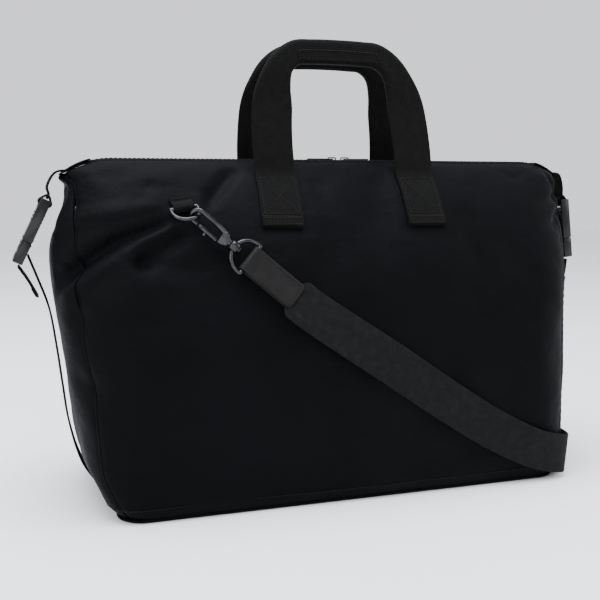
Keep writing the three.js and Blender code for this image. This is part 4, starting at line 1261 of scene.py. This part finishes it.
def hook_pieces(word):
    place = FRAMES[word]["hook"]
    spine = [(BLOCK_START + 4, HOOK_HALF - 2.6), (BLOCK_START - 1, HOOK_HALF - 1.3),
             (HOOK_THROAT - 4, HOOK_HALF - 0.2), (HOOK_THROAT / 2, HOOK_HALF), (3, HOOK_HALF)]
    angles = np.linspace(math.pi / 2, 1.5 * math.pi, 17)
    arc = [(HOOK_HALF * math.cos(a), HOOK_HALF * math.sin(a)) for a in angles]
    route = spine + arc + [(GATE_START - 1.2, -HOOK_HALF)]
    line = curve_through([place.out(x, y) for x, y in route], 110)
    radii = [blended(2.3, HOOK_WIRE, ease(k, 0, 30)) * (1 - 0.12 * ease(k, 92, 110))
             for k in range(len(line))]
    claw = tube(line, place.z, radii, sides=18)
    outline = [(BLOCK_START - 1, -6.6), (BLOCK_START + 3, -6.4), (BLOCK_END, -3.4), (BLOCK_END + 0.6, 0),
               (BLOCK_END, 3.4), (BLOCK_START + 3, 6.0), (BLOCK_START - 1, 6.2)]
    block = plate_part(place, outline, -2.6, 2.6, 1.0)
    neck = [(BLOCK_END - 1, 3.1), (BLOCK_END + 0.4, 3.3), (BLOCK_END + 1.2, 2.7), (BOSS_END + GAP, 2.6),
            (BOSS_END + GAP + 0.1, 3.7), (BOSS_END + 1.0, 4.1), (BOSS_END + 1.8, 3.6), (BOSS_END + 2, 2.0)]
    shank = lathe_part(place, neck)
    piece = crisp(joined(f"{word}_hook_body", [claw, block, shank], HARDWARE), 48)
    attach(piece, f"{word}_hook", [f"{word}_snap_hook"])
    bar = [(GATE_START + 0.4, 1.5), (GATE_START + 1.4, 1.95), (GATE_START + 6, 2.1),
           (GATE_PIVOT - 2, 2.15), (GATE_PIVOT + 1.2, 1.9), (GATE_PIVOT + 2, 1.2)]
    bar_line = [place.out(along, -HOOK_HALF) for along, radius in bar]
    barrel = tube(bar_line, place.z, [radius for along, radius in bar], sides=18)
    pin = lathe_part(Frame(place.out(GATE_PIVOT, -HOOK_HALF, -2.5), place.z, place.x),
                     [(0, 0.8), (0.2, 1.1), (4.8, 1.1), (5.0, 0.8)], 16)
    knob = lathe_part(Frame(place.out(GATE_START + 8.5, -HOOK_HALF - 1.2), -place.y, place.x),
                      [(0, 1.3), (1.5, 1.3), (2.1, 1.7), (2.7, 1.6), (3.0, 1.0)], 18)
    gate = crisp(joined(f"{word}_gate_body", [barrel, pin, knob], HARDWARE), 48)
    attach(gate, f"{word}_gate", [f"{word}_hook_gate"])


def strap_ring(word):
    place = FRAMES[word]["strap"]
    straight = STRAP_RING_BAR - STRAP_RING_APEX - STRAP_RING_HALF
    line = d_line(place, STRAP_RING_HALF, straight, lambda x, y: (STRAP_RING_BAR + y, -x))
    loop = tube(line, place.z, WIRE, looped=True, sides=18)
    boss = lathe_part(place, [(BOSS_START, 3.4), (BOSS_START + 0.2, 4.6), (BOSS_START + 1, 5.0),
                              (BOSS_END - 1, 5.0), (BOSS_END - 0.2, 4.6), (BOSS_END, 3.4)])
    piece = crisp(joined(f"{word}_swivel_ring", [loop, boss], HARDWARE), 48)
    attach(piece, "bag", [f"{word}_strap_ring"])


# ---------------------------------------------------------------- leather tab and shoulder strap
def run_point(word, along, lift=0.0):
    parts = FRAMES[word]
    return parts["seat"] + parts["along"] * along + parts["lift"] * lift


def leather_tab():
    """One strip of leather folded round the ring's bar, its ends rounded, edge-stitched."""
    lift_of = LAYER + LEATHER / 2
    bend = WIRE + GAP + LEATHER / 2
    profile = [(LEATHER_END, lift_of), (LEATHER_END - 14, lift_of), (STRAP_RING_BAR + 14, lift_of),
               (STRAP_RING_BAR + 7, lift_of + 0.2)]
    angles = np.radians(np.linspace(80, 280, 15))
    under = [(along, -lift) for along, lift in reversed(profile)]
    profile += [(STRAP_RING_BAR + bend * math.cos(a), bend * math.sin(a)) for a in angles]
    profile += under
    line = evenly(curve_through([run_point("front", x, y) for x, y in profile], 200), 150)
    sideways = FRAMES["front"]["strap"].y
    parts = FRAMES["front"]
    stations = []
    for index, point in enumerate(line):
        along = tangent_at(line, index)
        left = LEATHER_END - float((point - parts["seat"]) @ parts["along"])
        corner = 3.5
        trim = corner - math.sqrt(max(0.0, corner ** 2 - max(0.0, corner - left) ** 2))
        width = 2 * (LEATHER_HALF_WIDTH - trim)
        stations.append(tape_stop(point, unit(np.cross(along, sideways)), width, LEATHER, 0.12))
    piece = tape_piece("leather_tab", stations, LEATHER_LOOK)
    attach(piece, "bag", ["strap_leather_tab"])
    threads = []
    inset = LEATHER_HALF_WIDTH - 2.2
    far = LEATHER_END - 2.6
    near = STRAP_RING_BAR + 8
    for face_side in (1, -1):
        lift = face_side * (LAYER + LEATHER + 0.02)
        path = [(near, -inset), (far, -inset), (far, inset), (near, inset), (near, -inset)]
        spots = [run_point("front", x, lift) + sideways * y for x, y in path]
        for a, b in zip(spots, spots[1:]):
            run = [blended(a, b, share) for share in np.linspace(0, 1, 12)]
            threads += stitch_parts(run, [parts["lift"] * face_side] * 12, length=2.3, pitch=3.1, radius=0.3)
    attach(joined("leather_tab_stitching", threads, STRAP_THREAD), "bag")


STRAP_ROUTE = [(30, 124, 3.2), (90, 83, 3.2), (140, 52, 3.8), (182, 32, 5), (216, 23, 5.8), (246, 21.5, 5.8),
               (300, 21, 5.4), (346, 30, 6), (380, 47, 7.5), (406, 68, 9)]
STRAP_STEPS = 260
LOOP_WIDTH = 2 * STRAP_RING_HALF - 2 * WIRE - 1


def strap_stations():
    front = FRAMES["front"]
    back = FRAMES["back"]
    tab_line = (STRAP_RING_BAR + 8, LEATHER_END - 22, LEATHER_END, LEATHER_END + 14)
    points = [run_point("front", along) for along in tab_line]
    normals = [front["lift"]] * 4
    for q, z, lift in STRAP_ROUTE:
        point, normal = wall_at(q, share_at(z))
        points.append(point + normal * lift)
        normals.append(normal)
    for past in (80, 58, 34, 14):
        points.append(run_point("back", STRAP_RING_BAR + past, LOOP))
        normals.append(back["lift"])
    line = curve_through(points, STRAP_STEPS)
    facing = curve_through(normals, STRAP_STEPS)
    narrow = 2 * LEATHER_HALF_WIDTH - 4
    stations = []
    for index, (point, normal) in enumerate(zip(line, facing)):
        along = float((point - front["seat"]) @ front["along"])
        opened = ease(along, LEATHER_END - 8, LEATHER_END + 2) if index < STRAP_STEPS / 2 else 1.0
        width = blended(narrow, WEBBING, opened)
        close = ease(index, STRAP_STEPS * 0.745, STRAP_STEPS * 0.785)
        width = blended(width, min(width, LOOP_WIDTH), close)
        stations.append(tape_stop(point, unit(normal), width, WEBBING_THICK))
    for angle in np.radians(np.linspace(90, 270, 15)):
        point = run_point("back", STRAP_RING_BAR + LOOP * math.cos(angle), LOOP * math.sin(angle))
        normal = back["along"] * math.cos(angle) + back["lift"] * math.sin(angle)
        stations.append(tape_stop(point, normal, LOOP_WIDTH, WEBBING_THICK))
    for past in (12, 20, 34, 48, 62, 76):
        point = run_point("back", STRAP_RING_BAR + past, -LOOP)
        stations.append(tape_stop(point, -back["lift"], LOOP_WIDTH, WEBBING_THICK))
    return stations


def shoulder_strap():
    stations = strap_stations()
    piece = tape_piece("shoulder_strap", stations, STRAP)
    attach(piece, "bag", ["shoulder_strap"])
    end = FRAMES["back"]
    threads = []
    for past in (68, 73):
        run = [run_point("back", STRAP_RING_BAR + past, -LOOP - WEBBING_THICK / 2) + end["strap"].y * y
               for y in np.linspace(-LOOP_WIDTH / 2 + 2, LOOP_WIDTH / 2 - 2, 12)]
        threads += stitch_parts(run, [-end["lift"]] * 12)
    attach(joined("strap_end_stitching", threads, STRAP_THREAD), "bag")


def adjuster():
    node_piece("strap_slide", "strap_adjuster", HARDWARE, "adjuster", 0.5, 3)


# ---------------------------------------------------------------- cinched ends
SOCKET_LENGTH = 40.0
BUCKLE_HALF_THICK = 4.5
CLIP_BAR = 10.75        # from the clip's near face to its webbing bar
CINCHES = {
    "left": {"side": -1, "lean": math.radians(26), "reach": 11.0, "drop": 20.0,
             "route": [(271, 203), (262, 176), (256.5, 140), (252.5, 105), (248, 70), (237.5, 33), (222, 9)],
             "tail": [(286.6, 213.2), (279.5, 202), (271, 186)]},
    "right": {"side": 1, "lean": math.radians(7), "reach": 8.0, "drop": 22.0,
              "route": [(257, 203), (252.5, 176), (248.5, 140), (242, 105), (234.2, 70), (228.4, 40),
                        (224.6, 20), (221.5, 9)],
              "tail": [(265.6, 206.6), (264.5, 196), (262, 182)]},
}


def band_stations(points, count, width=NARROW_WEBBING, thick=1.8):
    line = evenly(curve_through(points, count), count)
    stations = []
    for index, point in enumerate(line):
        normal = unit(np.cross(tangent_at(line, index), [0, 1, 0]))
        stations.append(tape_stop(point, normal, width, thick))
    return stations


def buckle_rails(name, place, body, rows):
    """Raised grip bars moulded on both faces of a buckle."""
    parts = []
    for face_side in (-1, 1):
        for along, half_width in rows:
            spot = Frame(place.out(along, 0, 0), place.x, place.y)
            outline = rounded_outline(0.7, half_width, 0.65)
            low = BUCKLE_HALF_THICK - 0.3 if face_side > 0 else -BUCKLE_HALF_THICK - 0.55
            parts.append(plate_part(spot, outline, low, low + 0.85, 0.3))
    attach(crisp(joined(name, parts, PLASTIC), 40), body)


def cinch(word):
    spec = CINCHES[word]
    side = spec["side"]
    lean = spec["lean"]
    wing = np.array([side * TOP_HALF_LENGTH, 0, HEIGHT - END_DROOP])
    down = np.array([side * math.sin(lean), 0, -math.cos(lean)])
    head = wing + np.array([side * spec["reach"], 0, -spec["drop"]])
    place = Frame(head, down, (0, -side, 0))
    away = np.array([side * math.cos(lean), 0, math.sin(lean)])
    clip_body = f"{word}_clip"
    node_piece(f"{word}_socket", f"{word}_buckle_socket", PLASTIC, "bag", 1.1, 4)
    node_piece(f"{word}_clip_part", f"{word}_buckle_clip", PLASTIC, clip_body, 0.8, 4)
    buckle_rails(f"{word}_socket_ribs", place, "bag", [(13.5, 12), (17, 11), (20.5, 10), (37.5, 12.5)])
    buckle_rails(f"{word}_clip_ribs", place, clip_body, [(SOCKET_LENGTH + 2.6, 13)])

    upper = [wing + np.array([-side * 9, 0, 5.6]), wing + np.array([side * 2.5, 0, 3.6]),
             wing + np.array([side * (spec["reach"] - 1), 0, -9]), head - down * 5, head - down * 0.7]
    wing_strap = tape_piece(f"{word}_wing_strap", band_stations(upper, 40), TAPE)
    attach(wing_strap, "bag", [f"{word}_wing_webbing"])
    fold = [head - down * 4 + away * 1.2, head + down * 3 + away * 5.6, head + down * 6.2 + away * 3.0,
            head + down * 6.2 - away * 3.0, head + down * 3 - away * 5.6, head - down * 4 - away * 1.2]
    attach(tape_piece(f"{word}_wing_fold", band_stations(fold, 48, 24.4, 1.5), TAPE), "bag")

    bar = SOCKET_LENGTH + GAP + CLIP_BAR
    placed = [np.array([side * x, 0, z]) for x, z in spec["route"]]
    lower = [head + down * bar - away * (BUCKLE_HALF_THICK + 1.4)] + placed
    piece = tape_piece(f"{word}_cinch_strap", band_stations(lower, 90), TAPE)
    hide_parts(f"{word}_cinch_webbing")
    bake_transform(piece)
    tail = [np.array([side * x, 0, z]) for x, z in spec["tail"]]
    tail_piece = tape_piece(f"{word}_tail", band_stations(tail, 24), TAPE)
    attach(tail_piece, clip_body, [f"{word}_webbing_tail"])
    hem_end = tail[-1] + away * 1.5
    hem = band_stations([tail[-1] + (tail[1] - tail[2]) * 0.42 + away * 1.5, hem_end], 8, 25.4, 1.5)
    attach(tape_piece(f"{word}_tail_hem", hem, TAPE), clip_body)
    threads = []
    direction = unit(tail[1] - tail[2])
    for rise in (1.6, 6.0):
        middle = tail[-1] + direction * rise + away * 2.4
        run = [middle + np.array([0, y, 0]) for y in np.linspace(-10, 10, 10)]
        threads += stitch_parts(run, [away] * 10, length=2.4, pitch=3.2)
    attach(joined(f"{word}_tail_stitching", threads, THREAD), clip_body)


# ---------------------------------------------------------------- carried-over nodes
NODE_LOOKS = {"lining": LINING, "base_board": BOARD}


def dress_frame():
    """The lining and the board carry their own finish, every other CAD node the shell's."""
    for name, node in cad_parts.items():
        node.data.materials.clear()
        node.data.materials.append(NODE_LOOKS.get(name, SHELL))


# ---------------------------------------------------------------- stage, light and camera
CAMERA_PLACE = (-0.284, -0.8015, 0.282)
CAMERA_PITCH = math.radians(90 - 7.4)
CAMERA_TURN = math.radians(-17.8)
CAMERA_LENS = 52.26
FLOOR_SIZE = 8.0
FLOOR_GAP = 0.0008


def stage_floor():
    bpy.ops.mesh.primitive_plane_add(size=FLOOR_SIZE, location=(0, 0, -FLOOR_GAP))
    floor = bpy.context.object
    floor.name = "floor"
    floor.data.materials.append(floor_look())


def area_light(name, place, target, size, power, colour=(1, 1, 1)):
    light = bpy.data.lights.new(name, "AREA")
    light.shape = "RECTANGLE"
    light.size = size[0]
    light.size_y = size[1]
    light.energy = power
    light.color = colour
    lamp = bpy.data.objects.new(name, light)
    bpy.context.scene.collection.objects.link(lamp)
    lamp.location = place
    lamp.rotation_euler = (Vector(target) - Vector(place)).to_track_quat("-Z", "Y").to_euler()
    return lamp


def lights():
    area_light("top_softbox", (-0.2, -0.15, 1.9), (0, 0, 0.2), (1.8, 1.4), 85, (0.86, 0.89, 1.0))
    area_light("left_softbox", (-1.7, -0.9, 1.1), (0, 0, 0.2), (1.2, 1.4), 22)
    area_light("right_softbox", (1.8, -0.8, 1.0), (0, 0, 0.18), (1.0, 1.4), 14)
    area_light("front_fill", (-0.6, -2.2, 0.7), (0, 0, 0.15), (1.6, 1.0), 13)
    world = bpy.data.worlds.new("studio")
    world.use_nodes = True
    world.node_tree.nodes["Background"].inputs["Color"].default_value = (0.95, 0.96, 1, 1)
    world.node_tree.nodes["Background"].inputs["Strength"].default_value = 1.25
    bpy.context.scene.world = world


def camera():
    data = bpy.data.cameras.new("camera")
    data.lens = CAMERA_LENS
    data.sensor_width = 36
    data.dof.use_dof = False
    seat = bpy.data.objects.new("camera", data)
    bpy.context.scene.collection.objects.link(seat)
    seat.location = CAMERA_PLACE
    seat.rotation_euler = (CAMERA_PITCH, 0, CAMERA_TURN)
    bpy.context.scene.camera = seat


# ---------------------------------------------------------------- build
dress_frame()
for panel_name in PANEL_NODES:
    shell_panel(panel_name)
corner_seams()
soft_lining()
base_piece()
zip_tapes()
zip_teeth()
top_hems()
end_tabs()
zip_hardware()
for handle_word in HANDLE_SIDES:
    handle_piece(handle_word)
    handle_patches(handle_word)
    grip_details(handle_word)
for ring_word in RING_PLACES:
    ring_tab(ring_word)
    d_ring(ring_word)
    hook_pieces(ring_word)
    strap_ring(ring_word)
leather_tab()
shoulder_strap()
adjuster()
for cinch_word in CINCHES:
    cinch(cinch_word)
stage_floor()
lights()
camera()
